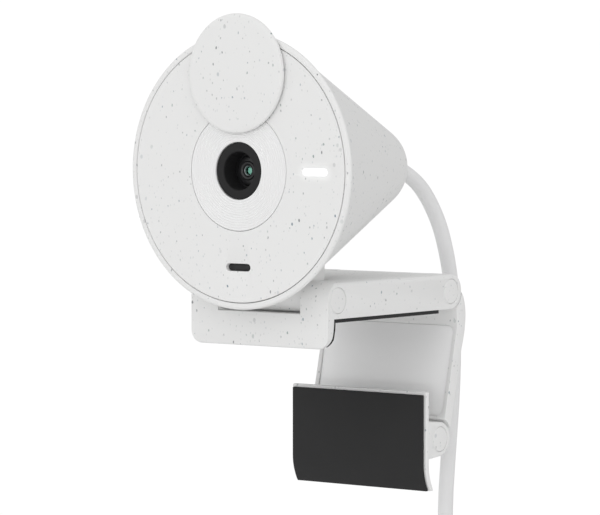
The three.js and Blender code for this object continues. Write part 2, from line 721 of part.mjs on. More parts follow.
function makeFoot() {
  const ear = new THREE.Shape();
  const rootRise = 3.7;
  ear.moveTo(footRearY - footPlateThick / 2, footPinZ - rootRise);
  ear.lineTo(footPinY, footPinZ - footEarRadius);
  ear.absarc(footPinY, footPinZ, footEarRadius, -Math.PI / 2, Math.PI / 2, false);
  ear.lineTo(footRearY - footPlateThick / 2, footPinZ + rootRise);
  ear.closePath();
  const sheet = footSheet(footRearY - footPlateThick, footPlateThick, footTopZ + footRim);
  let body = join(
    extrudeX(sheet, -halfClip, halfClip),
    extrudeX(ear, -halfClip, -halfClip + footEarWidth),
    extrudeX(ear, halfClip - footEarWidth, halfClip),
  );
  body = cut(
    body,
    rodX(pinRadius + pinFit, -halfClip - 1, halfClip + 1, footPinY, footPinZ),
    rodX(capRadius + pinFit, halfClip - capSink, halfClip + 1, footPinY, footPinZ, CAP_SEGMENTS),
    rodX(capRadius + pinFit, -halfClip - 1, -halfClip + capSink, footPinY, footPinZ, CAP_SEGMENTS),
  );
  add(webcam, 'foot_plate', body, whitePlastic());
  const padFront = footRearY - footPlateThick - seat - footPadThick;
  const pad = footSheet(padFront, footPadThick, footTopZ);
  add(webcam, 'foot_rubber_pad', extrudeX(pad, -halfClip + footPadInset, halfClip - footPadInset), rubber());
}
makeFoot();
makePin(webcam, 'foot_hinge_pin', footPinY, footPinZ, halfClip, 'foot_pin_cap');

// ---------------------------------------------------------------- cord
function tube(points, steps) {
  const path = new THREE.CatmullRomCurve3(points.map(([x, y, z]) => new THREE.Vector3(x, y, z)));
  const section = new THREE.Shape();
  for (let i = 0; i < cordSides; i += 1) {
    const angle = 2 * Math.PI * i / cordSides;
    const [x, y] = [cordRadius * Math.cos(angle), cordRadius * Math.sin(angle)];
    if (i === 0) section.moveTo(x, y);
    else section.lineTo(x, y);
  }
  section.closePath();
  return new THREE.ExtrudeGeometry(section, { steps, bevelEnabled: false, extrudePath: path });
}

// The cord's route behind the clip: out of the housing and over into the drop, then down to the coil.
const bendRoute = [
  [0, 26.9, 27.4],
  [0, 28.4, 26.9],
  [0, 30.4, 26.0],
  [0, 32.6, 24.8],
  [0, 34.6, 23.3],
  [0, 36.5, 21.5],
  [0, 38.2, 19.5],
  [0, 39.8, 17.3],
  [0, 41.2, 14.9],
  [0, 42.4, 12.2],
  [0, 43.4, 9.4],
];
const dropRoute = [
  [0, 43.5, 9.1],
  [0, 44.3, 6.2],
  [0, 45.1, 2.2],
  [0, 45.6, -3.0],
  [0, 45.8, -9.0],
  [0, 45.6, -15.5],
  [0, 45.1, -21.5],
  [0, 44.4, -27.5],
  [0, 43.7, -33.5],
  [0, 43.2, -38.5],
  [0, 43.0, -42.5],
];
add(webcam, 'cord_bend', tube(bendRoute, 12), cordGrey());
add(webcam, 'cord_drop', tube(dropRoute, 14), cordGrey());

const dropEndY = dropRoute.at(-1)[1];
const coilY = dropEndY + coilBehind;
const coilOuter = coilMiddle + coilSection;
const turnRadius = coilOuter - cordRadius;
const coilBelow = leadStart + Math.sqrt((leadRadius + turnRadius) ** 2 - leadRadius ** 2);

// The lead-in leaves the vertical and swings over to lie along the top of the coil.
function leadRoute() {
  const points = [];
  for (let i = 0; i <= 4; i += 1) {
    const angle = THREE.MathUtils.degToRad(leadSwing * i / 4);
    const y = dropEndY - leadLean * leadRadius * angle;
    points.push([leadRadius * (1 - Math.cos(angle)), y, -leadStart - leadRadius * Math.sin(angle)]);
  }
  return points;
}
add(webcam, 'cord_lead_in', tube(leadRoute(), 5), cordGrey());

function makeCoil() {
  const round = 2.2;
  const inner = coilMiddle - coilSection;
  const coil = lathe([
    [inner, -coilSection + round],
    [inner + round, -coilSection],
    [coilOuter - round, -coilSection],
    [coilOuter, -coilSection + round],
    [coilOuter, coilSection - round],
    [coilOuter - round, coilSection],
    [inner + round, coilSection],
    [inner, coilSection - round],
    [inner, -coilSection + round],
  ], 32);
  add(webcam, 'cord_coil', coil.translate(0, coilY, -coilBelow), cordGrey());
  const sag = inner - Math.sqrt(inner * inner - tieWidth * tieWidth / 4);
  const room = 2 * (coilSection + gap + sag);
  const outer = roundedBox(room + 2 * tieThick, room + 2 * tieThick, 2.4);
  const hole = new THREE.Path(roundedBox(room, room, 1.3).getPoints(3));
  outer.holes.push(hole);
  const strap = new THREE.ExtrudeGeometry(outer, { depth: tieWidth, bevelEnabled: false, curveSegments: 3 });
  strap.translate(0, 0, -tieWidth / 2).rotateY(Math.PI / 2).translate(0, 0, coilMiddle);
  const swing = new THREE.Group();
  swing.position.set(0, coilY, -coilBelow);
  swing.rotation.y = THREE.MathUtils.degToRad(tieTurn);
  webcam.add(swing);
  add(swing, 'coil_tie', strap, blackPlastic());
}
makeCoil();

// The tail hangs straight down from the rear of the coil, at its side, and ends in the plug.
const tailX = turnRadius - tailInset;
const tailY = coilY + coilLayer;
const tailTopZ = -coilBelow - tailStart;
const plugTopZ = tailTopZ - tailLength;
const tailRoute = [tailTopZ, tailTopZ - tailLength / 2, plugTopZ].map((z) => [tailX, tailY, z]);
add(webcam, 'cord_tail', tube(tailRoute, 3), cordGrey());

function makePlug() {
  const reliefZ = plugTopZ - gap;
  const bodyTop = reliefZ - plugRelief;
  const reliefBody = new THREE.CylinderGeometry(cordRadius + 0.3, cordRadius + 1.0, plugRelief, 16);
  reliefBody.rotateX(Math.PI / 2).translate(tailX, tailY, reliefZ - plugRelief / 2);
  add(webcam, 'plug_strain_relief', reliefBody, cordGrey());
  const upright = (shape, fromZ, toZ) => {
    const settings = { depth: toZ - fromZ, bevelEnabled: false, curveSegments: 4 };
    return new THREE.ExtrudeGeometry(shape, settings).translate(tailX, tailY, fromZ);
  };
  const moulding = upright(roundedBox(plugWidth, plugThick, 2.0), bodyTop - plugLength, bodyTop - seat);
  add(webcam, 'plug_body', moulding, smoothPlastic());
  const shellTop = bodyTop - plugLength - seat;
  const shell = roundedBox(shellWidth, shellThick, shellThick / 2 - 0.01);
  const [mouthWidth, mouthThick] = [shellWidth - 2 * shellWall, shellThick - 2 * shellWall];
  const mouth = roundedBox(mouthWidth, mouthThick, mouthThick / 2 - 0.01);
  const hollow = cut(
    solid(upright(shell, shellTop - shellLength, shellTop)),
    upright(mouth, shellTop - shellLength - 1, shellTop - 0.6),
  );
  add(webcam, 'plug_shell', hollow, steel());
  const tongue = roundedBox(shellWidth - 2.2, 0.7, 0.2);
  add(webcam, 'plug_tongue', upright(tongue, shellTop - shellLength + 0.7, shellTop - 0.9), blackPlastic());
}
makePlug();

export default webcam;
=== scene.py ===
"""Looks for a round webcam on a fold-out monitor clip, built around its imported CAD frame. Metres, +Z up."""

import json
import math

import bmesh
import bpy
from mathutils import Matrix, Vector


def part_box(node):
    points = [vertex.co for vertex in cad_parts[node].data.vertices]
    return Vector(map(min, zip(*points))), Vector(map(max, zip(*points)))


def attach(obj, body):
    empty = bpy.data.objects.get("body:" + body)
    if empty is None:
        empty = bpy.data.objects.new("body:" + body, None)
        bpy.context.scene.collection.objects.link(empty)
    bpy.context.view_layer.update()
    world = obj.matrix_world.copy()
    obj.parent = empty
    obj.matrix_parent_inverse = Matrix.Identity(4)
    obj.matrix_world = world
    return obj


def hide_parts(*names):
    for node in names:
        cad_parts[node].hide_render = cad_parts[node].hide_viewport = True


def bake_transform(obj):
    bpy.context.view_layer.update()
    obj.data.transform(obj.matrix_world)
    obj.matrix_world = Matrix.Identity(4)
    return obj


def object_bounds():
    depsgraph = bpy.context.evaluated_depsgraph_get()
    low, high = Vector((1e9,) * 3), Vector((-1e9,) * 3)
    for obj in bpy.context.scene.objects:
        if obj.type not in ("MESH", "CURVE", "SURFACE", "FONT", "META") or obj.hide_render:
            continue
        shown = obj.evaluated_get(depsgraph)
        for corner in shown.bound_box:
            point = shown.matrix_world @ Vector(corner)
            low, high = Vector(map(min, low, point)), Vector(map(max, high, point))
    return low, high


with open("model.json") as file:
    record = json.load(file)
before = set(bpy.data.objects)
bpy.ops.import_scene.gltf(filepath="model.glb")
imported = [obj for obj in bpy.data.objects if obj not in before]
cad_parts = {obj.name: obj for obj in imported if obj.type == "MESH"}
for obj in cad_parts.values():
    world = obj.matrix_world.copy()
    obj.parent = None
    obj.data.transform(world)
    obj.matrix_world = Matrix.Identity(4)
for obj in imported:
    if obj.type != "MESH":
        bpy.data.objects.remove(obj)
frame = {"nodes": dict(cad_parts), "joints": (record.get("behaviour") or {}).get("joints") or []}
cad_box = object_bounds()

MM = 0.001
NODES = frame["nodes"]
JOINTS = {joint["name"]: Vector(joint["pos_m"]) for joint in frame["joints"]}


def centre_of(node):
    low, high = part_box(node)
    return (low + high) / 2


def size_of(node):
    low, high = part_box(node)
    return high - low


# ------------------------------------------------------------------ places taken from the frame
FACE_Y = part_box("face_plate")[0].y
AXIS_Z = centre_of("rear_housing").z
FRONT_PIN = JOINTS["head_tilt"]
REAR_PIN = JOINTS["arm_swing"]
FOOT_PIN = JOINTS["foot_swing"]
HALF_CLIP = size_of("clip_body").x / 2
CLIP_LOW, CLIP_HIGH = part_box("clip_body")

# ------------------------------------------------------------------ camera
VIEW_AZIMUTH = math.radians(37.26)
VIEW_ELEVATION = math.radians(2.85)
VIEW_DISTANCE = 0.6134
VIEW_ANGLE = math.radians(10.41)
VIEW_AIM = Vector((0.0097, -0.0187, 0.0121))


def make_camera():
    data = bpy.data.cameras.new("camera")
    camera = bpy.data.objects.new("camera", data)
    bpy.context.scene.collection.objects.link(camera)
    flat = math.cos(VIEW_ELEVATION)
    back = Vector((math.sin(VIEW_AZIMUTH) * flat, -math.cos(VIEW_AZIMUTH) * flat, math.sin(VIEW_ELEVATION)))
    right = Vector((math.cos(VIEW_AZIMUTH), math.sin(VIEW_AZIMUTH), 0))
    turn = Matrix((right, back.cross(right), back)).transposed()
    camera.matrix_world = Matrix.Translation(VIEW_AIM + back * VIEW_DISTANCE) @ turn.to_4x4()
    data.sensor_width = 36
    data.angle = VIEW_ANGLE
    data.clip_start = 0.01
    bpy.context.scene.camera = camera


# ------------------------------------------------------------------ modelling helpers
def only(piece):
    """Leaves edit mode and selects one piece alone."""
    if bpy.context.mode != "OBJECT":
        bpy.ops.object.mode_set(mode="OBJECT")
    bpy.ops.object.select_all(action="DESELECT")
    piece.select_set(True)
    bpy.context.view_layer.objects.active = piece


def new_point(name, at):
    """A new mesh piece at the origin, open in edit mode, that holds one vertex."""
    if bpy.context.mode != "OBJECT":
        bpy.ops.object.mode_set(mode="OBJECT")
    bpy.ops.object.select_all(action="DESELECT")
    bpy.ops.mesh.primitive_plane_add(size=1)
    piece = bpy.context.object
    piece.name = name
    piece.data.name = name
    bpy.ops.object.mode_set(mode="EDIT")
    bpy.ops.mesh.merge(type="CENTER")
    bpy.ops.transform.translate(value=at)
    return piece


def draw_line(points):
    """Extrudes the one vertex of the open piece along points."""
    for before, after in zip(points, points[1:]):
        step = Vector(after) - Vector(before)
        bpy.ops.mesh.extrude_region_move(TRANSFORM_OT_translate={"value": step})


def tidy_mesh():
    bpy.ops.mesh.select_all(action="SELECT")
    bpy.ops.mesh.remove_doubles(threshold=1e-7)
    bpy.ops.mesh.normals_make_consistent(inside=False)
    bpy.ops.object.mode_set(mode="OBJECT")


def spun(name, points, centre, axis, segments):
    """Spins a line of points about an axis through centre."""
    piece = new_point(name, points[0])
    draw_line(points)
    bpy.ops.mesh.select_all(action="SELECT")
    bpy.ops.mesh.spin(steps=segments, angle=math.tau, center=centre, axis=axis)
    tidy_mesh()
    return piece


def turned(name, outline, segments=128, centre=None):
    """Spins an outline of (radius, depth behind the face) in mm about the lens axis, or about another one."""
    x, z = (0, AXIS_Z) if centre is None else centre
    points = [(x + radius * MM, FACE_Y + depth * MM, z) for radius, depth in outline]
    return spun(name, points, (x, FACE_Y, z), (0, 1, 0), segments)


def turned_upright(name, outline, x, y):
    """Spins an outline of (radius, z) about an upright axis."""
    points = [(x + radius, y, z) for radius, z in outline]
    return spun(name, points, (x, y, 0), (0, 0, 1), 48)


def turned_across(name, outline, y, z):
    """Spins an outline of (radius, x) about an axis across the clip."""
    points = [(x, y + radius, z) for radius, x in outline]
    return spun(name, points, (0, y, z), (1, 0, 0), 64)


def filled(name, points, way):
    """Fills a closed outline and extrudes the face by way."""
    same_point = 2e-6
    loop = [Vector(points[0])]
    for point in points[1:]:
        if (Vector(point) - loop[-1]).length > same_point:
            loop.append(Vector(point))
    if (loop[-1] - loop[0]).length < same_point:
        loop.pop()
    piece = new_point(name, loop[0])
    draw_line(loop + [loop[0]])
    bpy.ops.mesh.select_all(action="SELECT")
    bpy.ops.mesh.remove_doubles(threshold=1e-6)
    bpy.ops.mesh.edge_face_add()
    bpy.ops.mesh.extrude_region_move(TRANSFORM_OT_translate={"value": way})
    tidy_mesh()
    return piece


def sided(name, outline, from_x, to_x):
    """Fills an outline of (y, z) and extrudes it across x."""
    return filled(name, [(from_x, y, z) for y, z in outline], (to_x - from_x, 0, 0))


def fronted(name, outline, from_y, to_y):
    """Fills an outline of (x, z) and extrudes it along y."""
    return filled(name, [(x, from_y, z) for x, z in outline], (0, to_y - from_y, 0))


def standing(name, outline, from_z, to_z):
    """Fills an outline of (x, y) and extrudes it upwards."""
    return filled(name, [(x, y, from_z) for x, y in outline], (0, 0, to_z - from_z))


def arc(centre, radius, start, end, steps):
    """Points on an arc, in degrees, in whichever two axes centre is given."""
    angles = [math.radians(start + (end - start) * i / steps) for i in range(steps + 1)]
    return [(centre[0] + radius * math.cos(a), centre[1] + radius * math.sin(a)) for a in angles]


def mixed(weights, points):
    """The mean of some two-part points, by weight."""
    return tuple(sum(w * p[k] for w, p in zip(weights, points)) for k in (0, 1))


def bend(start, control, end, steps):
    """Points on a quadratic curve."""
    points = []
    for i in range(steps + 1):
        t = i / steps
        points.append(mixed(((1 - t) ** 2, 2 * t * (1 - t), t * t), (start, control, end)))
    return points


def cubic(start, first, second, end, steps):
    """Points on a cubic curve."""
    points = []
    for i in range(steps + 1):
        t = i / steps
        weights = ((1 - t) ** 3, 3 * t * (1 - t) ** 2, 3 * t * t * (1 - t), t ** 3)
        points.append(mixed(weights, (start, first, second, end)))
    return points


def pill_outline(centre, width, height, steps=10):
    radius = height / 2
    reach = width / 2 - radius
    right = arc((centre[0] + reach, centre[1]), radius, -90, 90, steps)
    return right + arc((centre[0] - reach, centre[1]), radius, 90, 270, steps)


def box_outline(centre, width, height, radius, steps=6):
    x, z = width / 2 - radius, height / 2 - radius
    points = []
    for side, (sx, sz) in enumerate(((1, -1), (1, 1), (-1, 1), (-1, -1))):
        start = -90 + 90 * side
        points += arc((centre[0] + sx * x, centre[1] + sz * z), radius, start, start + 90, steps)
    return points


def combine(piece, operation, others):
    """Cuts, joins or keeps against each of the others in turn, and throws them away."""
    for other in others:
        only(piece)
        modifier = piece.modifiers.new("shape", "BOOLEAN")
        modifier.operation = operation
        modifier.solver = "EXACT"
        modifier.object = other
        bpy.ops.object.modifier_apply(modifier=modifier.name)
        bpy.data.objects.remove(other)
    return piece


def cut(piece, *tools):
    return combine(piece, "DIFFERENCE", tools)


def join(piece, *others):
    return combine(piece, "UNION", others)


def keep(piece, *outlines):
    return combine(piece, "INTERSECT", outlines)


def soften(piece, width, segments=3, angle=32):
    """Rounds the sharp edges of a piece."""
    only(piece)
    modifier = piece.modifiers.new("round", "BEVEL")
    modifier.width = width * MM
    modifier.segments = segments
    modifier.limit_method = "ANGLE"
    modifier.angle_limit = math.radians(angle)
    bpy.ops.object.modifier_apply(modifier=modifier.name)
    return piece


def rod(name, radius, length, at, turn, vertices):
    bpy.ops.object.select_all(action="DESELECT")
    bpy.ops.mesh.primitive_cylinder_add(
        vertices=vertices, radius=radius * MM, depth=length, location=at, rotation=turn)
    return place(name)


def rod_x(name, radius, from_x, to_x, y, z, vertices=48):
    """A rod across the clip. Its radius is in mm."""
    return rod(name, radius, to_x - from_x, ((from_x + to_x) / 2, y, z), (0, math.pi / 2, 0), vertices)


def rod_y(name, radius, from_y, to_y, x, z, vertices=48):
    """A rod along the lens axis. Its radius is in mm."""
    return rod(name, radius, to_y - from_y, (x, (from_y + to_y) / 2, z), (math.pi / 2, 0, 0), vertices)


def place(name):
    """Names the active piece and puts its place and turn into its mesh."""
    piece = bpy.context.object
    piece.name = name
    piece.data.name = name
    bpy.ops.object.transform_apply(location=True, rotation=True, scale=True)
    return piece


def slab(name, low, high):
    bpy.ops.object.select_all(action="DESELECT")
    bpy.ops.mesh.primitive_cube_add(size=1, location=(Vector(low) + Vector(high)) / 2)
    piece = bpy.context.object
    piece.scale = Vector(high) - Vector(low)
    return place(name)


def fit(piece, body, nodes, material, angle=35):
    """Smooths a finished piece, gives it its material and its body, and hides the CAD nodes that it stands
    for.

    A cord has no body.
    """
    only(piece)
    bpy.ops.object.shade_smooth_by_angle(angle=math.radians(angle))
    piece.data.materials.clear()
    piece.data.materials.append(material)
    if body:
        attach(piece, body)
    if nodes:
        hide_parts(*nodes)
    return piece


# ------------------------------------------------------------------ shader groups
def new_group(name, inputs, outputs):
    group = bpy.data.node_groups.new(name, "ShaderNodeTree")
    for label, kind, value in inputs:
        socket = group.interface.new_socket(name=label, in_out="INPUT", socket_type=kind)
        socket.default_value = value
    for label, kind in outputs:
        group.interface.new_socket(name=label, in_out="OUTPUT", socket_type=kind)
    nodes = group.nodes
    return group, nodes.new("NodeGroupInput"), nodes.new("NodeGroupOutput")


def new_node(tree, kind, inputs=None, **settings):
    """A node with its settings and inputs. An input is a value, or the socket of another node."""
    node = tree.nodes.new(f"ShaderNode{kind}")
    for label, value in settings.items():
        setattr(node, label, value)
    for label, value in (inputs or {}).items():
        if isinstance(value, bpy.types.NodeSocket):
            tree.links.new(value, node.inputs[label])
        else:
            node.inputs[label].default_value = value
    return node


def calc(tree, operation, *values, clamp=False):
    """The result of a math node on values and sockets."""
    return new_node(tree, "Math", dict(enumerate(values)), operation=operation, use_clamp=clamp).outputs[0]


SPECK_WOBBLE = 0.25 * MM
SPECK_WOBBLE_SCALE = 1800
# cells per metre, stretch of the cells, fleck radius in cells, chance that a cell holds one, strength
SPECK_LAYERS = (
    (330, (1.0, 0.8, 0.8), 0.135, 0.36, 0.36),
    (540, (1.2, 1.0, 0.7), 0.140, 0.44, 1.10),
    (800, (1.1, 1.1, 0.8), 0.175, 0.55, 0.62),
    (1200, (1.2, 0.9, 0.7), 0.220, 0.60, 0.26),
)
# the solid middle of a fleck as a share of its radius, and the palest fleck as a share of the layer's strength
SPECK_CORE, SPECK_PALEST = 0.55, 0.35
SPECK_GREY, SPECK_BLUE, SPECK_GREEN = (0.20, 0.21, 0.22, 1), (0.13, 0.19, 0.24, 1), (0.17, 0.24, 0.22, 1)
# the shares of grey flecks, and of grey and blue ones together
SPECK_BLUE_FROM, SPECK_GREEN_FROM = 0.45, 0.75


def specks_group():
    """The colour of a moulded plastic with flecks of four sizes mixed through it."""
    group, given, result = new_group(
        "specks", [("Base", "NodeSocketColor", (0.8, 0.8, 0.8, 1))], [("Color", "NodeSocketColor")])
    at = new_node(group, "TexCoord").outputs["Object"]
    wobble = new_node(group, "TexNoise", {"Vector": at, "Scale": SPECK_WOBBLE_SCALE, "Detail": 1})
    shift = new_node(group, "VectorMath", {0: wobble.outputs["Color"], 1: (SPECK_WOBBLE,) * 3, 2: at},
                     operation="MULTIPLY_ADD")
    color = given.outputs["Base"]
    for scale, stretch, radius, chance, strength in SPECK_LAYERS:
        turn = new_node(group, "Mapping", {
            "Vector": shift.outputs["Vector"], "Scale": stretch,
            "Rotation": (scale * 0.01, scale * 0.017, scale * 0.023)})
        cells = new_node(group, "TexVoronoi", {"Vector": turn.outputs["Vector"], "Scale": scale})
        dice = new_node(group, "SeparateColor", {"Color": cells.outputs["Color"]})
        near = new_node(group, "MapRange", {
            "Value": cells.outputs["Distance"], "From Min": radius, "From Max": radius * SPECK_CORE,
        }, interpolation_type="SMOOTHSTEP")
        held = calc(group, "LESS_THAN", dice.outputs["Red"], chance)
        depth = new_node(group, "MapRange", {
            "Value": dice.outputs["Green"], "To Min": strength * SPECK_PALEST, "To Max": strength})
        shown = calc(group, "MULTIPLY", near.outputs["Result"], held)
        amount = calc(group, "MULTIPLY", shown, depth.outputs["Result"], clamp=True)
        tint = new_node(group, "ValToRGB", {"Fac": dice.outputs["Blue"]})
        ramp = tint.color_ramp
        ramp.interpolation = "CONSTANT"
        ramp.elements[0].color = SPECK_GREY
        ramp.elements[1].position = SPECK_BLUE_FROM
        ramp.elements[1].color = SPECK_BLUE
        ramp.elements.new(SPECK_GREEN_FROM).color = SPECK_GREEN
        mix = new_node(group, "Mix", {"Factor": amount, "A": color, "B": tint.outputs["Color"]},
                       data_type="RGBA")
        color = mix.outputs["Result"]
    group.links.new(color, result.inputs["Color"])
    return group


BROAD_GRAIN = 160
ROUGHNESS_SPREAD = 0.06


def grain_group():
    """The fine spark-eroded texture of a mould, as a height and as a little change of roughness."""
    group, given, result = new_group(
        "mould_grain", [("Scale", "NodeSocketFloat", 5000.0), ("Roughness", "NodeSocketFloat", 0.6)],
        [("Height", "NodeSocketFloat"), ("Roughness", "NodeSocketFloat")])
    at = new_node(group, "TexCoord").outputs["Object"]
    fine = new_node(group, "TexNoise", {
        "Vector": at, "Scale": given.outputs["Scale"], "Detail": 3, "Roughness": 0.6})
    broad = new_node(group, "TexNoise", {"Vector": at, "Scale": BROAD_GRAIN, "Detail": 4})
    centred = calc(group, "SUBTRACT", broad.outputs["Fac"], 0.5)
    rough = calc(group, "MULTIPLY_ADD", centred, ROUGHNESS_SPREAD, given.outputs["Roughness"])
    group.links.new(fine.outputs["Fac"], result.inputs["Height"])
    group.links.new(rough, result.inputs["Roughness"])
    return group


# how far the bar of light, its soft edge and its halo reach from the light's middle line
GLOW_BAR, GLOW_EDGE, GLOW_HALO = 0.2 * MM, 0.85 * MM, 2.3 * MM


def glow_group():
    """Light that spreads in the white plastic round the status light, by the distance from its bar."""
    group, given, result = new_group(
        "glow", [("Bar", "NodeSocketFloat", 0.8), ("Halo", "NodeSocketFloat", 0.1)],
        [("Color", "NodeSocketColor")])
    low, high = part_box("status_light_pipe")
    middle = (low + high) / 2
    half_bar = (high.x - low.x - high.z + low.z) / 2
    at = new_node(group, "SeparateXYZ", {0: new_node(group, "TexCoord").outputs["Object"]})
    sideways = calc(group, "ABSOLUTE", calc(group, "SUBTRACT", at.outputs["X"], middle.x))
    past_bar = calc(group, "MAXIMUM", calc(group, "SUBTRACT", sideways, half_bar), 0)
    height = calc(group, "SUBTRACT", at.outputs["Z"], middle.z)
    flat = new_node(group, "CombineXYZ", {"X": past_bar, "Z": height})
    distance = new_node(group, "VectorMath", {0: flat.outputs[0]}, operation="LENGTH")
    shares = []
    for label, reach in (("Bar", GLOW_EDGE), ("Halo", GLOW_HALO)):
        fade = new_node(group, "MapRange", {
            "Value": distance.outputs["Value"], "From Min": GLOW_BAR, "From Max": reach,
            "To Min": 1, "To Max": 0,
        }, interpolation_type="SMOOTHSTEP")
        shares.append(calc(group, "MULTIPLY", fade.outputs["Result"], given.outputs[label]))
    group.links.new(calc(group, "ADD", *shares), result.inputs["Color"])
    return group


SPECKS = specks_group()
GLOW = glow_group()
GRAIN = grain_group()


def new_material(name, color, roughness, grain, depth, **sockets):
    """A material with the mould grain in its bump and roughness. Returns it with its shader."""
    material = bpy.data.materials.new(name)
    material.use_nodes = True
    tree = material.node_tree
    shader = tree.nodes["Principled BSDF"]
    shader.inputs["Base Color"].default_value = (*color, 1)
    for label, value in sockets.items():
        shader.inputs[label.replace("_", " ")].default_value = value
    texture = new_node(tree, "Group", {"Scale": grain, "Roughness": roughness}, node_tree=GRAIN)
    bump = new_node(tree, "Bump", {
        "Height": texture.outputs["Height"], "Distance": depth * MM, "Strength": 1.0})
    tree.links.new(bump.outputs["Normal"], shader.inputs["Normal"])
    tree.links.new(texture.outputs["Roughness"], shader.inputs["Roughness"])
    return material, shader


SPECKLED_WHITE = (0.80, 0.80, 0.795)


def speckled_plastic(name):
    material, shader = new_material(name, SPECKLED_WHITE, 0.58, grain=4200, depth=0.006,
                                    Specular_IOR_Level=0.35)
    tree = material.node_tree
    flecks = new_node(tree, "Group", {"Base": (*SPECKLED_WHITE, 1)}, node_tree=SPECKS)
    tree.links.new(flecks.outputs["Color"], shader.inputs["Base Color"])
    return material


def glowing(material):
    """Adds the glow round the status light to a material."""
    tree = material.node_tree
    shader = tree.nodes["Principled BSDF"]
    glow = new_node(tree, "Group", node_tree=GLOW)
    tree.links.new(glow.outputs["Color"], shader.inputs["Emission Color"])
    shader.inputs["Emission Strength"].default_value = 1.0
    return material


WHITE = speckled_plastic("speckled_white_plastic")
PLAIN = new_material("plain_white_plastic", (0.82, 0.82, 0.82), 0.55, grain=4200, depth=0.005)[0]
# The cover's white is paler than the plain plastic. This is painted light that makes up for the shade the clip
# and the foot cast on it.
COVER_PAINTED_LIGHT = new_material("cover_plastic_painted_light", (0.92, 0.92, 0.92), 0.55, grain=4200, depth=0.005)[0]
BLACK = new_material("black_plastic", (0.014, 0.014, 0.0145), 0.55, grain=5200, depth=0.006,
                     Specular_IOR_Level=0.22)[0]
RUBBER = new_material("black_rubber", (0.018, 0.018, 0.0185), 0.78, grain=3000, depth=0.010,
                      Specular_IOR_Level=0.40)[0]
STEEL = new_material("steel", (0.60, 0.61, 0.62), 0.32, grain=2600, depth=0.002, Metallic=1.0)[0]
BOARD = new_material("circuit_board", (0.02, 0.11, 0.055), 0.42, grain=1500, depth=0.008)[0]
CHIP = new_material("chip_black", (0.02, 0.02, 0.022), 0.35, grain=2600, depth=0.003)[0]
FACE_WHITE = glowing(speckled_plastic("face_white_plastic"))
LENS_BLACK = new_material("lens_black", (0.012, 0.012, 0.013), 0.34, grain=2600, depth=0.002)[0]
LENS_RIM = new_material("lens_rim", (0.30, 0.31, 0.32), 0.30, grain=2600, depth=0.001, Metallic=1.0)[0]
# The lens glass gets a teal base colour as a painted reflection: it stands in for the glint of the studio
# light in the lens coating.
GLASS_PAINTED_GLINT = new_material("lens_glass", (0.25, 0.62, 0.48), 0.12, grain=800, depth=0.0005)[0]
MESH = new_material("mic_mesh", (0.012, 0.012, 0.013), 0.6, grain=5200, depth=0.02)[0]
LIGHT = glowing(new_material("light_pipe", (0.82, 0.82, 0.82), 0.45, grain=2600, depth=0.001)[0])
CORD = new_material("cord_sheath", (0.80, 0.80, 0.802), 0.50, grain=3200, depth=0.004)[0]

make_camera()

# ------------------------------------------------------------------ floor and studio light
# A tent of soft light all round: its mean strength, and how much stronger it is towards +X, +Y and +Z.
TENT_LIGHT = 0.80
TENT_TILT = Vector((0.10, -0.28, 0.10))
BACKDROP = 1.02
FLOOR_DROP = 4 * MM
FLOOR_WIDTH = 4
LAMP_AIM = Vector((0, 0, 0.02))


def make_tent():
    world = bpy.data.worlds.new("tent")
    bpy.context.scene.world = world
    world.use_nodes = True
    tree = world.node_tree
    way = new_node(tree, "TexCoord").outputs["Generated"]
    tilt = new_node(tree, "VectorMath", {0: way, 1: TENT_TILT}, operation="DOT_PRODUCT")
    light = calc(tree, "ADD", tilt.outputs["Value"], TENT_LIGHT)
    seen = new_node(tree, "LightPath").outputs["Is Camera Ray"]
    pick = new_node(tree, "Mix", {"Factor": seen, "A": light, "B": BACKDROP})
    background = tree.nodes["Background"]
    tree.links.new(pick.outputs["Result"], background.inputs["Strength"])
    background.inputs["Color"].default_value = (1, 1, 1, 1)


def make_floor():
    bpy.ops.object.select_all(action="DESELECT")
    bpy.ops.mesh.primitive_plane_add(size=FLOOR_WIDTH, location=(0, 0, cad_box[0][2] - FLOOR_DROP))
    floor = place("floor")
    material, shader = new_material("pale_floor", (0.84, 0.84, 0.84), 0.8, grain=900, depth=0.002)
    tree = material.node_tree
    glow = new_node(tree, "Emission", {"Strength": BACKDROP})
    seen = new_node(tree, "LightPath").outputs["Is Camera Ray"]
    mix = new_node(tree, "MixShader", {0: seen, 1: shader.outputs["BSDF"], 2: glow.outputs["Emission"]})
    tree.links.new(mix.outputs["Shader"], tree.nodes["Material Output"].inputs["Surface"])
    floor.data.materials.append(material)


def make_lamp(name, at, width, watts):
    data = bpy.data.lights.new(name, "AREA")
    data.size = width
    data.energy = watts
    lamp = bpy.data.objects.new(name, data)
    bpy.context.scene.collection.objects.link(lamp)
    aim = (LAMP_AIM - Vector(at)).to_track_quat("-Z", "Y")
    lamp.matrix_world = Matrix.Translation(at) @ aim.to_matrix().to_4x4()


def make_stage():
    make_tent()
    make_floor()
    make_lamp("key", (-0.30, -0.85, 0.45), 0.6, 0.2)
    make_lamp("low_fill", (0.40, -0.75, -0.30), 0.5, 4.0)
    bpy.context.scene.view_settings.view_transform = "Standard"


make_stage()

# ------------------------------------------------------------------ cord
CORD_RADIUS = 1.55 * MM
# The route of the loose stretch as (y, z) in mm, in the plane x = 0, as the CAD cord has it.
CORD_ROUTE = (
    (26.0, 27.5), (26.9, 27.4), (28.4, 26.9), (30.4, 26.0), (32.6, 24.8), (34.6, 23.3), (36.5, 21.5),
    (38.2, 19.5), (39.8, 17.3), (41.2, 14.9), (42.4, 12.2), (43.5, 9.1), (44.3, 6.2), (45.1, 2.2),
    (45.6, -3.0), (45.8, -9.0), (45.6, -15.5), (45.1, -21.5), (44.4, -27.5), (43.7, -33.5),
    (43.2, -38.5), (43.0, -42.5),
)
CORD_STEP = 1.4 * MM
# the bend that leads into the coil, and how late in it the cord moves back to the coil's first layer
LEAD_RADIUS = 12 * MM
LEAD_STEPS = 6
LEAD_EASE = 1.3
COIL_LAYERS = 4
LAYER_TURNS = 3
TURN_STEPS = 48


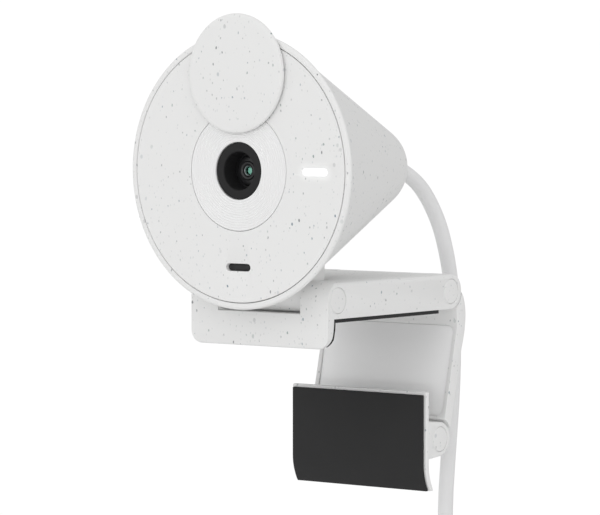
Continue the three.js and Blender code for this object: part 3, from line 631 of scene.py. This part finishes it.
def smooth_line(points, step):
    """Points about a step apart on one smooth curve through the given points."""
    ends = [2 * points[0] - points[1]] + list(points) + [2 * points[-1] - points[-2]]
    line = []
    for before, start, end, after in zip(ends, ends[1:], ends[2:], ends[3:]):
        count = max(1, round((end - start).length / step))
        for i in range(count):
            t = i / count
            bow = 2 * before - 5 * start + 4 * end - after
            twist = 3 * start - before - 3 * end + after
            line.append(0.5 * (2 * start + (end - before) * t + bow * t * t + twist * t ** 3))
    return line + [points[-1]]


def cord_line():
    """The whole centreline: out of the housing, down, round the coil and along the tail to the plug."""
    coil = centre_of("cord_coil")
    room = size_of("cord_coil")
    outer = room.x / 2 - CORD_RADIUS
    side = room.y / 2 - CORD_RADIUS - 0.05 * MM
    last_layer = COIL_LAYERS - 1
    pitch = 2 * side / last_layer
    inner = outer - LAYER_TURNS * pitch
    points = [Vector((0, y * MM, z * MM)) for y, z in CORD_ROUTE]

    rise = math.sqrt((LEAD_RADIUS + outer) ** 2 - LEAD_RADIUS ** 2)
    swing = math.acos(LEAD_RADIUS / (LEAD_RADIUS + outer))
    last = points[-1]
    for i in range(LEAD_STEPS + 1):
        turn = swing * i / LEAD_STEPS
        x = LEAD_RADIUS * (1 - math.cos(turn))
        y = last.y + (coil.y - side - last.y) * (i / LEAD_STEPS) ** LEAD_EASE
        points.append(Vector((x, y, coil.z + rise - LEAD_RADIUS * math.sin(turn))))
    line = smooth_line(points, CORD_STEP)

    # flat spirals side by side, in and out by turns, with a quarter turn between each two
    angle = math.pi / 2 - swing

    def on_coil(radius, y):
        return Vector((coil.x + radius * math.sin(angle), y, coil.z + radius * math.cos(angle)))

    all_steps = LAYER_TURNS * TURN_STEPS
    tail_x = centre_of("cord_tail").x
    for layer in range(COIL_LAYERS):
        y = coil.y - side + layer * pitch
        start, end = (outer, inner) if layer % 2 == 0 else (inner, outer)
        steps, step_angle = all_steps, math.tau / TURN_STEPS
        if layer == last_layer:
            # the last spiral stops where it points straight down over the tail
            steps = round(all_steps * (tail_x - coil.x - inner) / (outer - inner))
            whole_turns = math.floor((angle + math.tau * steps / TURN_STEPS) / math.tau + 0.25)
            step_angle = (math.pi / 2 + math.tau * whole_turns - angle) / steps
        for i in range(1, steps + 1):
            angle += step_angle
            line.append(on_coil(start + (end - start) * i / all_steps, y))
        if layer < last_layer:
            quarter = TURN_STEPS // 4
            for i in range(1, quarter + 1):
                angle += step_angle
                blend = i / quarter
                line.append(on_coil(end, y + pitch * blend * blend * (3 - 2 * blend)))

    tail_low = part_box("cord_tail")[0].z
    top = line[-1]
    count = round((top.z - tail_low) / CORD_STEP)
    for i in range(1, count + 1):
        line.append(Vector((tail_x, top.y, top.z + (tail_low - top.z) * i / count)))
    return line


def tube_along(name, line, radius, sides=14):
    """A closed tube whose rings follow the line without twisting."""
    mesh = bpy.data.meshes.new(name)
    piece = bpy.data.objects.new(name, mesh)
    bpy.context.scene.collection.objects.link(piece)
    work = bmesh.new()
    along = [(b - a).normalized() for a, b in zip(line, line[1:])]
    tangents = [along[0]] + [(a + b).normalized() for a, b in zip(along, along[1:])] + [along[-1]]
    across = tangents[0].orthogonal().normalized()
    rings = []
    for at, tangent in zip(line, tangents):
        across = (across - across.dot(tangent) * tangent).normalized()
        other = tangent.cross(across)
        ring = []
        for i in range(sides):
            angle = math.tau * i / sides
            ring.append(work.verts.new(at + radius * (math.cos(angle) * across + math.sin(angle) * other)))
        rings.append(ring)
    for first, second in zip(rings, rings[1:]):
        for i in range(sides):
            j = (i + 1) % sides
            work.faces.new((first[i], first[j], second[j], second[i]))
    work.faces.new(list(reversed(rings[0])))
    work.faces.new(rings[-1])
    bmesh.ops.recalc_face_normals(work, faces=work.faces)
    work.to_mesh(mesh)
    work.free()
    return piece


def make_cord():
    line = cord_line()
    cord = tube_along("cord", line, CORD_RADIUS)
    fit(cord, None, ("cord_bend", "cord_drop", "cord_lead_in", "cord_coil", "cord_tail"), CORD)
    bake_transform(cord)
    return cord


def make_relief():
    """The short boot that the cord leaves the housing through."""
    low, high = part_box("strain_relief")
    back = (low.y - FACE_Y) / MM
    end = (high.y - FACE_Y) / MM
    hole, flange, flange_depth, neck = 1.7, 3.5, 1.0, 2.5
    rings, ring_pitch, first_ring = 3, 0.8, 2.4
    outline = [(hole, back), (flange, back), (flange, back + flange_depth), (neck, back + flange_depth),
               (neck, end - 2.9)]
    for ring in range(rings):
        groove = end - 2.7 + ring_pitch * ring
        width = first_ring - 0.2 * ring
        outline += [(width, groove), (width - 0.02, groove + 0.35), (width - 0.3, groove + 0.45),
                    (width - 0.32, groove + 0.7)]
    outline += [(1.95, end - 0.15), (1.8, end), (hole, end), (hole, back)]
    piece = turned("cord_boot", outline, 64, centre=(0, (low.z + high.z) / 2))
    return fit(piece, "head", ("strain_relief",), CORD)


def make_tie():
    """The rubber strap round the coil, with a rolled edge and a stud."""
    coil = centre_of("cord_coil")
    room = size_of("cord_coil")
    middle = (room.x / 2 + (room.x / 2 - room.y)) / 2
    tie = centre_of("coil_tie")
    turn = math.atan2(tie.x - coil.x, tie.z - coil.z)
    reach, thick, width = 1.75 * MM, 1.0 * MM, 4.6 * MM
    outer_corner, inner_corner = 2.3 * MM, 1.4 * MM
    outer = room.y / 2 + reach
    inner = outer - thick
    outline = box_outline((0, middle), 2 * outer, 2 * outer, outer_corner, 8)
    hole = box_outline((0, middle), 2 * inner, 2 * inner, inner_corner, 8)
    piece = sided("cord_strap", outline, -width / 2, width / 2)
    cut(piece, sided("hole", hole, -width, width))
    soften(piece, 0.3, 3)
    stud = rod_y("stud", 1.3, -outer - 0.9 * MM, -outer + 0.3 * MM, 0, middle, 32)
    soften(stud, 0.3, 3)
    join(piece, stud)
    piece.data.transform(Matrix.Translation(coil) @ Matrix.Rotation(turn, 4, "Y"))
    return fit(piece, "clip", ("coil_tie",), RUBBER)


def make_plug():
    """The moulded plug with its ribbed boot and its drawn steel shell."""
    pieces = []
    low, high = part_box("plug_strain_relief")
    x, y = (low.x + high.x) / 2, (low.y + high.y) / 2
    points = [(0, low.z)]
    ribs, rib_pitch = 5, 1.3
    for rib in range(ribs):
        z = low.z + (0.15 + rib_pitch * rib) * MM
        wide = (2.5 - 0.16 * rib) * MM
        groove = wide - 0.35 * MM
        points += [(wide, z), (wide, z + 0.75 * MM), (groove, z + 0.85 * MM), (groove, z + 1.2 * MM)]
    points += [(1.75 * MM, high.z), (0, high.z)]
    boot = turned_upright("plug_boot", points, x, y)
    pieces.append(fit(boot, "clip", ("plug_strain_relief",), CORD))

    low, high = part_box("plug_body")
    outline = box_outline((x, y), high.x - low.x, high.y - low.y, 2.1 * MM, 10)
    body = standing("plug_moulding", outline, low.z, high.z)
    soften(body, 0.9, 5, 60)
    grips = []
    grip_pitch, grip_half, grip_depth, grip_width = 1.5, 2.6 * MM, 0.22 * MM, 0.7 * MM
    for side in (-1, 1):
        edge = y + side * (high.y - low.y) / 2
        for rib in range(5):
            z = low.z + (7.0 + grip_pitch * rib) * MM
            near, far = edge - grip_depth, edge + grip_depth
            grips.append(slab("bar", (x - grip_half, near, z), (x + grip_half, far, z + grip_width)))
    cut(body, *grips)
    soften(body, 0.1, 2, 50)
    pieces.append(fit(body, "clip", ("plug_body",), PLAIN))

    low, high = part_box("plug_shell")
    width, depth = high.x - low.x, high.y - low.y
    corner = depth / 2.02
    shell = standing("plug_steel_shell", box_outline((x, y), width, depth, corner, 12), low.z, high.z)
    soften(shell, 0.12, 2, 60)
    wall = 0.3 * MM
    hollow = box_outline((x, y), width - 2 * wall, depth - 2 * wall, corner - wall, 12)
    cut(shell, standing("hollow", hollow, low.z - MM, high.z - 0.6 * MM))
    for side in (-1, 1):
        dimple = rod_y("dimple", 0.45, y - depth, y + depth, x + side * 2.6 * MM, low.z + 4.4 * MM, 24)
        cut(shell, dimple)
    pieces.append(fit(shell, "clip", ("plug_shell",), STEEL))
    return pieces


# ------------------------------------------------------------------ head
# Radii in mm: the face's edge, the rim, the cone at the face, the domed end, the lens parts and the holes.
# WALL is how thick the housing is.
SEAM = 24.6
RIM = 25.95
CONE_DEGREES = 22.5
CONE_ANGLE = math.radians(CONE_DEGREES)
CONE_FRONT = 25.76
DOME = 8.7
WALL = 1.7
RING = 11.2
BEZEL = 5.3
PIVOT_HOLE = 1.15
PIN_HOLE = 1.25
CONE_SLOPE = math.tan(CONE_ANGLE)
DOME_DEPTH = (CONE_FRONT - DOME / math.cos(CONE_ANGLE)) / CONE_SLOPE


def cone_radius(depth):
    return CONE_FRONT - CONE_SLOPE * depth


def dome_arc(radius, start, end, steps):
    """The rounded end of the housing as (radius, depth), from start to end degrees off the lens axis."""
    return [(a, DOME_DEPTH + b) for b, a in arc((0, 0), radius, start, end, steps)]


def make_housing():
    flank = 90 - CONE_DEGREES
    inside = cone_radius(3.3) - WALL / math.cos(CONE_ANGLE)
    outline = [(SEAM + 0.13, 1.9), (SEAM + 0.13, 0.16), (SEAM + 0.25, 0.02)]
    outline += [(RIM - 0.72, 0.0), (RIM - 0.50, 0.03)]
    outline += arc((RIM - 0.50, 0.53), 0.50, -70, 35, 7)
    outline += [(cone_radius(1.05), 1.05), (cone_radius(1.6), 1.6), (cone_radius(20), 20)]
    outline += dome_arc(DOME, flank, 0, 14)
    outline += dome_arc(DOME - WALL, 0, flank, 8)
    outline += [(inside, 3.3), (inside, 1.9), (SEAM + 0.13, 1.9)]
    piece = turned("housing_shell", outline, 160)
    low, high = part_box("strain_relief")
    hole = rod_y("hole", 2.62, FACE_Y + DOME_DEPTH * MM, high.y, 0, (low.z + high.z) / 2, 48)
    cut(piece, hole)
    return fit(piece, "head", ("rear_housing",), WHITE, 40)


def make_face():
    ledge = RING - 1.2
    outline = [(RING + 0.1, 0.06), (RING + 0.16, 0.0), (SEAM - 0.1, 0.0), (SEAM, 0.1), (SEAM, 1.6)]
    outline += [(RING + 0.6, 1.6), (RING + 0.6, 2.3), (ledge, 2.3), (ledge, 1.4)]
    outline += [(RING + 0.1, 1.4), (RING + 0.1, 0.06)]
    piece = turned("face_disc", outline, 160)
    mic = centre_of("microphone_mesh")
    light = centre_of("status_light_pipe")
    mic_room = size_of("microphone_mesh")
    light_room = size_of("status_light_pipe")
    mic_hole = pill_outline((mic.x, mic.z), mic_room.x + 0.2 * MM, mic_room.z + 0.2 * MM)
    light_hole = pill_outline((light.x, light.z), light_room.x + 0.12 * MM, light_room.z + 0.12 * MM)
    pivot = centre_of("shutter_pivot_pin")
    cut(
        piece,
        fronted("mic_hole", mic_hole, FACE_Y - MM, FACE_Y + 4 * MM),
        fronted("light_hole", light_hole, FACE_Y - MM, FACE_Y + 4 * MM),
        rod_y("pivot_hole", 2.2, FACE_Y + 1.3 * MM, FACE_Y + 4 * MM, pivot.x, pivot.z),
    )
    soften(piece, 0.07, 2, 60)
    return fit(piece, "head", ("face_plate",), FACE_WHITE, 40)


def make_ring():
    """The lens surround with its fine turned grooves."""
    grooves, groove_steps, groove_depth = 11, 8, 0.04
    start, end = BEZEL + 0.42, RING - 0.2
    outline = [(BEZEL + 0.1, 0.12), (BEZEL + 0.2, 0.0)]
    count = grooves * groove_steps
    for i in range(count + 1):
        depth = groove_depth * (1 - math.cos(math.tau * i / groove_steps))
        outline.append((start + (end - start) * i / count, depth))
    outline += [(RING - 0.08, 0.0), (RING, 0.08), (RING, 1.3), (BEZEL + 0.1, 1.3), (BEZEL + 0.1, 0.12)]
    piece = turned("lens_surround", outline, 160)
    pivot = centre_of("shutter_pivot_pin")
    cut(piece, rod_y("pivot_hole", PIVOT_HOLE, FACE_Y - MM, FACE_Y + 2 * MM, pivot.x, pivot.z))
    return fit(piece, "head", ("lens_surround_ring",), PLAIN, 25)


def make_lens():
    front = 0.2
    bezel = [(3.70, front), (BEZEL - 0.2, front), (BEZEL - 0.06, front + 0.05), (BEZEL, front + 0.22),
             (BEZEL, 3.4), (3.30, 3.4), (3.34, 2.4), (3.58, front + 0.16), (3.70, front)]
    fit(turned("bezel", bezel, 96), "head", ("lens_bezel",), BLACK, 28)

    barrel = [(1.05, 3.5), (1.05, 2.98), (1.12, 2.86), (1.30, 2.76), (1.48, 2.72), (1.62, 2.74), (1.76, 2.84),
              (1.84, 2.98), (2.30, 3.03), (2.60, 3.10), (2.82, 3.22), (2.90, 3.36), (2.90, 3.52), (5.9, 3.52),
              (6.3, 3.7), (6.4, 4.1), (6.4, 12.4), (1.4, 12.4), (1.4, 3.9), (1.05, 3.5)]
    fit(turned("barrel", barrel, 96), "head", ("lens_barrel",), LENS_BLACK, 40)

    rim = [(0.78, 3.30), (0.84, 3.16), (0.93, 3.12), (1.00, 3.16), (1.02, 3.40), (1.02, 3.48),
           (0.78, 3.48), (0.78, 3.30)]
    element_rim = turned("front_element_rim", rim, 64)
    fit(element_rim, "head", (), LENS_RIM, 40)
    glass = [(0.0, 3.62), (0.30, 3.65), (0.55, 3.72), (0.76, 3.86), (0.76, 4.4), (1.0, 4.5),
             (1.0, 5.0), (0.0, 5.0)]
    # the front element's teal colour is the painted reflection of the light in the lens coating
    fit(turned("front_element", glass, 64), "head", ("lens_glass",), GLASS_PAINTED_GLINT, 40)


def make_mic():
    low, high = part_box("microphone_mesh")
    fill = 0.1 * MM
    middle = (low.x + high.x) / 2, (low.z + high.z) / 2
    outline = pill_outline(middle, high.x - low.x + fill, high.z - low.z + fill)
    piece = fronted("mic_mesh", outline, low.y, high.y)
    soften(piece, 0.1, 2, 60)
    return fit(piece, "head", ("microphone_mesh",), MESH)


def make_light():
    low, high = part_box("status_light_pipe")
    fill = 0.18 * MM
    middle = (low.x + high.x) / 2, (low.z + high.z) / 2
    outline = pill_outline(middle, high.x - low.x + fill, high.z - low.z + fill, 12)
    piece = fronted("light_window", outline, low.y, high.y)
    soften(piece, 0.05, 2, 60)
    return fit(piece, "head", ("status_light_pipe",), LIGHT)


def make_shutter():
    low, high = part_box("privacy_shutter")
    centre = (low.x + high.x) / 2, (low.z + high.z) / 2
    radius = (high.x - low.x) / 2 / MM
    front, back = (low.y - FACE_Y) / MM, (high.y - FACE_Y) / MM
    outline = [(0, front), (radius - 0.9, front), (radius - 0.42, front + 0.03),
               (radius - 0.16, front + 0.13), (radius - 0.03, front + 0.33), (radius, front + 0.5),
               (radius - 0.04, back - 0.06), (radius - 0.14, back), (0, back)]
    piece = turned("shutter_disc", outline, 128, centre)
    pivot = centre_of("shutter_pivot_pin")
    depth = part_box("shutter_pivot_pin")[0].y - 0.1 * MM
    cut(piece, rod_y("socket", PIVOT_HOLE, depth, FACE_Y, pivot.x, pivot.z, 32))
    return fit(piece, "shutter", ("privacy_shutter",), WHITE, 30)


NECK_BARREL = 2.3 * MM
NECK_HALF = 9.66 * MM


def make_neck():
    low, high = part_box("neck")
    y, z = FRONT_PIN.y, FRONT_PIN.z
    depth = (high.y - FACE_Y) / MM
    rear_z = AXIS_Z - cone_radius(depth) * MM - 0.6 * MM
    top = high.z + 2 * MM
    outline = [(y - NECK_BARREL, z)] + arc((y, z), NECK_BARREL, 180, 292, 14)
    outline += [(high.y, rear_z), (high.y, top), (y - NECK_BARREL, top)]
    piece = sided("neck_block", outline, -NECK_HALF, NECK_HALF)
    soften(piece, 0.25, 3, 60)
    clear = 0.06
    room = [(0, -2), (RIM + clear, -2), (RIM + clear, 1.0), (cone_radius(1.05) + clear, 1.1),
            (cone_radius(DOME_DEPTH) + clear, DOME_DEPTH), (0, DOME_DEPTH)]
    cut(piece, turned("room", room, 160), rod_x("pin_hole", PIN_HOLE, -NECK_HALF - MM, NECK_HALF + MM, y, z))
    return fit(piece, "head", ("neck",), WHITE)


# ------------------------------------------------------------------ clip
PLATE_TOP = CLIP_HIGH.z
PLATE_BOTTOM = 2 * REAR_PIN.z - PLATE_TOP
LIP_FRONT = CLIP_LOW.y
LIP_BOTTOM = CLIP_LOW.z
LIP_REAR = LIP_FRONT + 1.9 * MM
LIP_LEAN = 1.1 * MM
TIP = 0.4 * MM
PLATE_ROUND = 3.4 * MM
EAR = (PLATE_TOP - PLATE_BOTTOM) / 2
EAR_WIDTH = 5.2 * MM
CAP = 2.45
SEAT = CAP + 0.03
SEAT_DEPTH = 1.15 * MM
# the slot at the front of the plate that the neck turns in
SLOT_HALF = 9.8 * MM
SLOT_FLOOR = PLATE_BOTTOM + 0.8 * MM
SLOT_REAR = FRONT_PIN.y + 6.6 * MM
# where the gap between the rear ears starts, for the arm's barrel
GAP_FRONT = REAR_PIN.y - 3.9 * MM


def pin_hole(pin):
    """What is cut out right across for a pin."""
    return rod_x("pin_hole", PIN_HOLE, -HALF_CLIP - MM, HALF_CLIP + MM, pin.y, pin.z)


def pin_hole_and_seats(pin):
    """What is cut out for a pin and for the cap at each end of it."""
    outer, inner = HALF_CLIP + MM, HALF_CLIP - SEAT_DEPTH
    hole = pin_hole(pin)
    right = rod_x("seat", SEAT, inner, outer, pin.y, pin.z, 64)
    left = rod_x("seat", SEAT, -outer, -inner, pin.y, pin.z, 64)
    return [hole, right, left]


def clip_front():
    """The clip's outline from the front, as (x, z)."""
    lower, upper = 2.5 * MM, 0.8 * MM
    points = arc((HALF_CLIP - lower, LIP_BOTTOM + lower), lower, -90, 0, 10)
    points += arc((HALF_CLIP - upper, PLATE_TOP - upper), upper, 0, 90, 5)
    points += arc((upper - HALF_CLIP, PLATE_TOP - upper), upper, 90, 180, 5)
    points += arc((lower - HALF_CLIP, LIP_BOTTOM + lower), lower, 180, 270, 10)
    return points


def make_clip():
    middle = (PLATE_BOTTOM + LIP_BOTTOM) / 2
    profile = arc((LIP_FRONT + TIP, LIP_BOTTOM + TIP), TIP, 0, -180, 8)
    profile += arc((LIP_FRONT + PLATE_ROUND, PLATE_TOP - PLATE_ROUND), PLATE_ROUND, 180, 90, 14)
    profile += arc((REAR_PIN.y, REAR_PIN.z), EAR, 90, -90, 24)
    lip_end = (LIP_REAR - LIP_LEAN, LIP_BOTTOM + TIP)
    profile += bend((LIP_REAR, PLATE_BOTTOM), (LIP_REAR, middle), lip_end, 8)[:-1]
    piece = sided("clip_moulding", profile, -HALF_CLIP, HALF_CLIP)
    keep(piece, fronted("outline", clip_front(), LIP_FRONT - MM, CLIP_HIGH.y + MM))
    soften(piece, 0.34, 4, 40)
    ear_inner = HALF_CLIP - EAR_WIDTH
    over = PLATE_TOP + MM
    tools = [
        slab("slot", (-SLOT_HALF, LIP_FRONT - MM, SLOT_FLOOR), (SLOT_HALF, SLOT_REAR, over)),
        slab("gap", (-ear_inner, GAP_FRONT, -MM), (ear_inner, CLIP_HIGH.y + MM, over)),
    ]
    cut(piece, *tools, *pin_hole_and_seats(FRONT_PIN), *pin_hole_and_seats(REAR_PIN))
    soften(piece, 0.09, 2, 50)
    return fit(piece, "clip", ("clip_body",), WHITE)


def make_liner():
    low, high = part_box("clip_rubber_liner")
    inside = LIP_REAR + 0.03 * MM
    thick = 0.57 * MM
    tip = LIP_BOTTOM + TIP
    middle = (PLATE_BOTTOM + LIP_BOTTOM) / 2
    under = PLATE_BOTTOM - 0.02 * MM
    outline = bend((inside, under), (inside, middle), (inside - LIP_LEAN, tip), 8)
    outline += bend((inside - LIP_LEAN + thick, tip), (inside + thick, middle), (inside + thick, 0), 8)
    outline += [(high.y, 0), (high.y, under)]
    piece = sided("clip_rubber", outline, low.x, high.x)
    keep(piece, fronted("outline", clip_front(), LIP_FRONT - MM, CLIP_HIGH.y))
    soften(piece, 0.04, 2, 50)
    return fit(piece, "clip", ("clip_rubber_liner",), RUBBER)


def make_caps():
    """The flush buttons that close the pin holes, one at each end of each pin."""
    for name, body in (("front_pin_cap", "clip"), ("rear_pin_cap", "clip"), ("foot_pin_cap", "foot")):
        for side in ("right", "left"):
            node = f"{name}_{side}"
            low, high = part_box(node)
            y, z = (low.y + high.y) / 2, (low.z + high.z) / 2
            way = 1 if side == "right" else -1
            face = max(abs(low.x), abs(high.x)) * way
            inner = min(abs(low.x), abs(high.x)) * way
            outline = [(0, face), (2.1 * MM, face), (2.3 * MM, face - way * 0.02 * MM),
                       (2.42 * MM, face - way * 0.12 * MM), (CAP * MM, face - way * 0.3 * MM),
                       (CAP * MM, inner), (0, inner)]
            piece = turned_across(f"{node}_button", outline, y, z)
            fit(piece, body, (node,), WHITE, 30)


# ------------------------------------------------------------------ arm and foot
ARM_DOWN = Vector((0, FOOT_PIN.y - REAR_PIN.y, FOOT_PIN.z - REAR_PIN.z))
ARM_LENGTH = ARM_DOWN.length
ARM_WAY = ARM_DOWN.normalized()
ARM_FORWARD = Vector((0, ARM_WAY.z, -ARM_WAY.y))
ARM_THICK = 2.1 * MM
ARM_FACE = 1.05 * MM
ARM_FACE_TOP = 3.0 * MM
ARM_TOP = 6.6 * MM
COVER_TOP = 6.5 * MM
FOOT_EAR = 3.35 * MM
FOOT_CLEAR = FOOT_EAR + 0.6 * MM
GAP = 0.3 * MM
# the half thickness of the two links at the pins, and the share of it that is left inside the arm
TOP_LINK, TOP_TAPER = 3.36 * MM, 0.8
FOOT_LINK, FOOT_TAPER = 2.75 * MM, 0.26


def arm_point(down, back):
    """A (y, z) point on the arm: down it from the rear pin, and back from the line of the pins."""
    at = REAR_PIN + ARM_WAY * down - ARM_FORWARD * back
    return at.y, at.z


def arm_face(down):
    """How far the arm's front face is behind the line of the pins."""
    return ARM_FACE_TOP + (ARM_FACE - ARM_FACE_TOP) * (down - ARM_TOP) / (ARM_LENGTH - ARM_TOP)


def arm_outline():
    ring = EAR + GAP
    end_down = ARM_LENGTH - math.sqrt(FOOT_CLEAR ** 2 - ARM_FACE ** 2)
    above_foot = 2.3 * MM
    back_down = ARM_LENGTH - above_foot
    back = math.sqrt(FOOT_CLEAR ** 2 - above_foot ** 2)
    points = arc((REAR_PIN.y, REAR_PIN.z), ring, -5, -56, 12)
    top = points[0]
    points.append(arm_point(ARM_TOP, ARM_FACE_TOP))
    start, end = arm_point(end_down, ARM_FACE), arm_point(back_down, back)
    angles = [math.degrees(math.atan2(z - FOOT_PIN.z, y - FOOT_PIN.y)) for y, z in (start, end)]
    points += arc((FOOT_PIN.y, FOOT_PIN.z), FOOT_CLEAR, angles[0], angles[1], 8)
    shoulder = arm_point(ARM_TOP + 4 * MM, ARM_FACE_TOP + ARM_THICK)
    bulge = arm_point(4.7 * MM, 6.5 * MM)
    crown = (top[0] + 1.3 * MM, top[1] - 1.6 * MM)
    points += cubic(shoulder, bulge, crown, top, 14)[:-1]
    return points


def link_outline(pin, radius, towards, taper):
    """A rounded link from a pin to a point inside the arm, narrowed there to a share of its width."""
    angle = math.atan2(towards[1] - pin.z, towards[0] - pin.y)
    across = Vector((-math.sin(angle), math.cos(angle))) * radius
    degrees = math.degrees(angle)
    points = arc((pin.y, pin.z), radius, degrees + 90, degrees + 270, 20)
    points.append((towards[0] - across.x * taper, towards[1] - across.y * taper))
    points.append((towards[0] + across.x * taper, towards[1] + across.y * taper))
    return points


def make_arm():
    piece = sided("arm_moulding", arm_outline(), -HALF_CLIP, HALF_CLIP)
    soften(piece, 0.3, 4, 45)
    border = 0.9 * MM
    cover_half = HALF_CLIP - border
    top, bottom = COVER_TOP, ARM_LENGTH - FOOT_CLEAR - 0.6 * MM
    deep = 0.8 * MM
    room = [arm_point(top, arm_face(top) - MM), arm_point(bottom, arm_face(bottom) - MM),
            arm_point(bottom, arm_face(bottom) + deep), arm_point(top, arm_face(top) + deep)]
    recess = sided("recess", room, -cover_half, cover_half)
    round_corners(recess, 1.6, ARM_FORWARD)
    top_half = HALF_CLIP - EAR_WIDTH - GAP
    foot_half = HALF_CLIP - 4.3 * MM
    top_root = arc((REAR_PIN.y, REAR_PIN.z), EAR + GAP + 1.6 * MM, -30, -30, 1)[0]
    foot_root = arm_point(ARM_LENGTH - FOOT_CLEAR - 1.2 * MM, ARM_FACE + 0.9 * MM)
    join(
        piece,
        sided("top_link", link_outline(REAR_PIN, TOP_LINK, top_root, TOP_TAPER), -top_half, top_half),
        sided("foot_link", link_outline(FOOT_PIN, FOOT_LINK, foot_root, FOOT_TAPER), -foot_half, foot_half),
    )
    cut(piece, recess, pin_hole(REAR_PIN), pin_hole(FOOT_PIN))
    soften(piece, 0.16, 2, 55)
    fit(piece, "rear_arm", ("rear_arm",), WHITE)

    inset = 0.04 * MM
    low, high = top + inset, bottom - inset
    sunk = 0.06 * MM
    sheet = [arm_point(low, arm_face(low) + sunk), arm_point(high, arm_face(high) + sunk),
             arm_point(high, arm_face(high) + 0.7 * MM), arm_point(low, arm_face(low) + 0.7 * MM)]
    cover = sided("arm_cover", sheet, -cover_half + inset, cover_half - inset)
    round_corners(cover, 1.5, ARM_FORWARD)
    soften(cover, 0.10, 2, 50)
    # the cover's paler white is painted light against the shade under the clip and the foot
    fit(cover, "rear_arm", ("arm_inner_cover",), COVER_PAINTED_LIGHT)


def round_corners(piece, radius, way):
    """Rounds the four corner edges that run along one direction."""
    only(piece)
    bpy.ops.object.mode_set(mode="EDIT")
    bpy.ops.mesh.select_all(action="DESELECT")
    work = bmesh.from_edit_mesh(piece.data)
    for edge in work.edges:
        along = (edge.verts[1].co - edge.verts[0].co).normalized()
        if abs(along.dot(way)) > 0.9:
            edge.select_set(True)
    bmesh.update_edit_mesh(piece.data)
    bpy.ops.mesh.bevel(offset=radius * MM, segments=8, affect="EDGES")
    bpy.ops.object.mode_set(mode="OBJECT")


FOOT_AHEAD = 3.65 * MM
FOOT_PLATE = 1.0 * MM
FOOT_CURL = 1.6 * MM


def foot_sheet(front, thick, top, low):
    """The foot's section as (y, z): upright, with its lower edge curled back."""
    curl = low + 5.2 * MM
    middle = (curl + low) / 2
    points = [(front, top)] + bend((front, curl), (front, middle), (front + FOOT_CURL, low), 10)
    points += bend((front + FOOT_CURL + thick, low), (front + thick, middle), (front + thick, curl), 10)
    return points + [(front + thick, top)]


def make_foot():
    low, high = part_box("foot_plate")
    rear = FOOT_PIN.y - FOOT_AHEAD
    sheet = foot_sheet(rear - FOOT_PLATE, FOOT_PLATE, high.z, low.z)
    plate = sided("foot_moulding", sheet, -HALF_CLIP, HALF_CLIP)
    soften(plate, 0.3, 4, 60)
    root = rear - FOOT_PLATE / 2
    rise = 3.7 * MM
    ear = arc((FOOT_PIN.y, FOOT_PIN.z), FOOT_EAR, -90, 90, 20)
    ear = [(root, FOOT_PIN.z - rise), *ear, (root, FOOT_PIN.z + rise)]
    width = 4.0 * MM
    for start in (-HALF_CLIP, HALF_CLIP - width):
        block = sided("ear", ear, start, start + width)
        soften(block, 0.25, 3, 60)
        join(plate, block)
    cut(plate, *pin_hole_and_seats(FOOT_PIN))
    soften(plate, 0.08, 2, 60)
    fit(plate, "foot", ("foot_plate",), WHITE)

    low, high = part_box("foot_rubber_pad")
    thick = 0.6 * MM
    pad = sided("foot_rubber", foot_sheet(low.y, thick, high.z, low.z), low.x, high.x)
    soften(pad, 0.2, 3, 60)
    fit(pad, "foot", ("foot_rubber_pad",), RUBBER)


# ------------------------------------------------------------------ what stays as the CAD has it
def finish_inner_nodes():
    """Gives the pins, boards and other inner nodes their materials."""
    inner = {
        "front_hinge_pin": STEEL, "rear_hinge_pin": STEEL, "foot_hinge_pin": STEEL,
        "friction_washer_right": STEEL, "friction_washer_left": STEEL,
        "shutter_pivot_pin": STEEL, "shutter_retaining_washer": STEEL,
        "shield_can": STEEL, "board_screw_right": STEEL, "board_screw_left": STEEL,
        "microphone_capsule": STEEL, "sensor_board": BOARD, "main_board": BOARD,
        "image_sensor": CHIP, "cord_connector": PLAIN, "status_led": LIGHT, "plug_tongue": BLACK,
    }
    for node, material in inner.items():
        mesh = NODES[node].data
        mesh.materials.clear()
        mesh.materials.append(material)


on_cord = make_plug() + [make_tie(), make_relief(), NODES["plug_tongue"]]
make_cord()
make_housing()
make_face()
make_ring()
make_lens()
make_mic()
make_light()
make_shutter()
make_neck()
make_clip()
make_liner()
make_caps()
make_arm()
make_foot()
finish_inner_nodes()
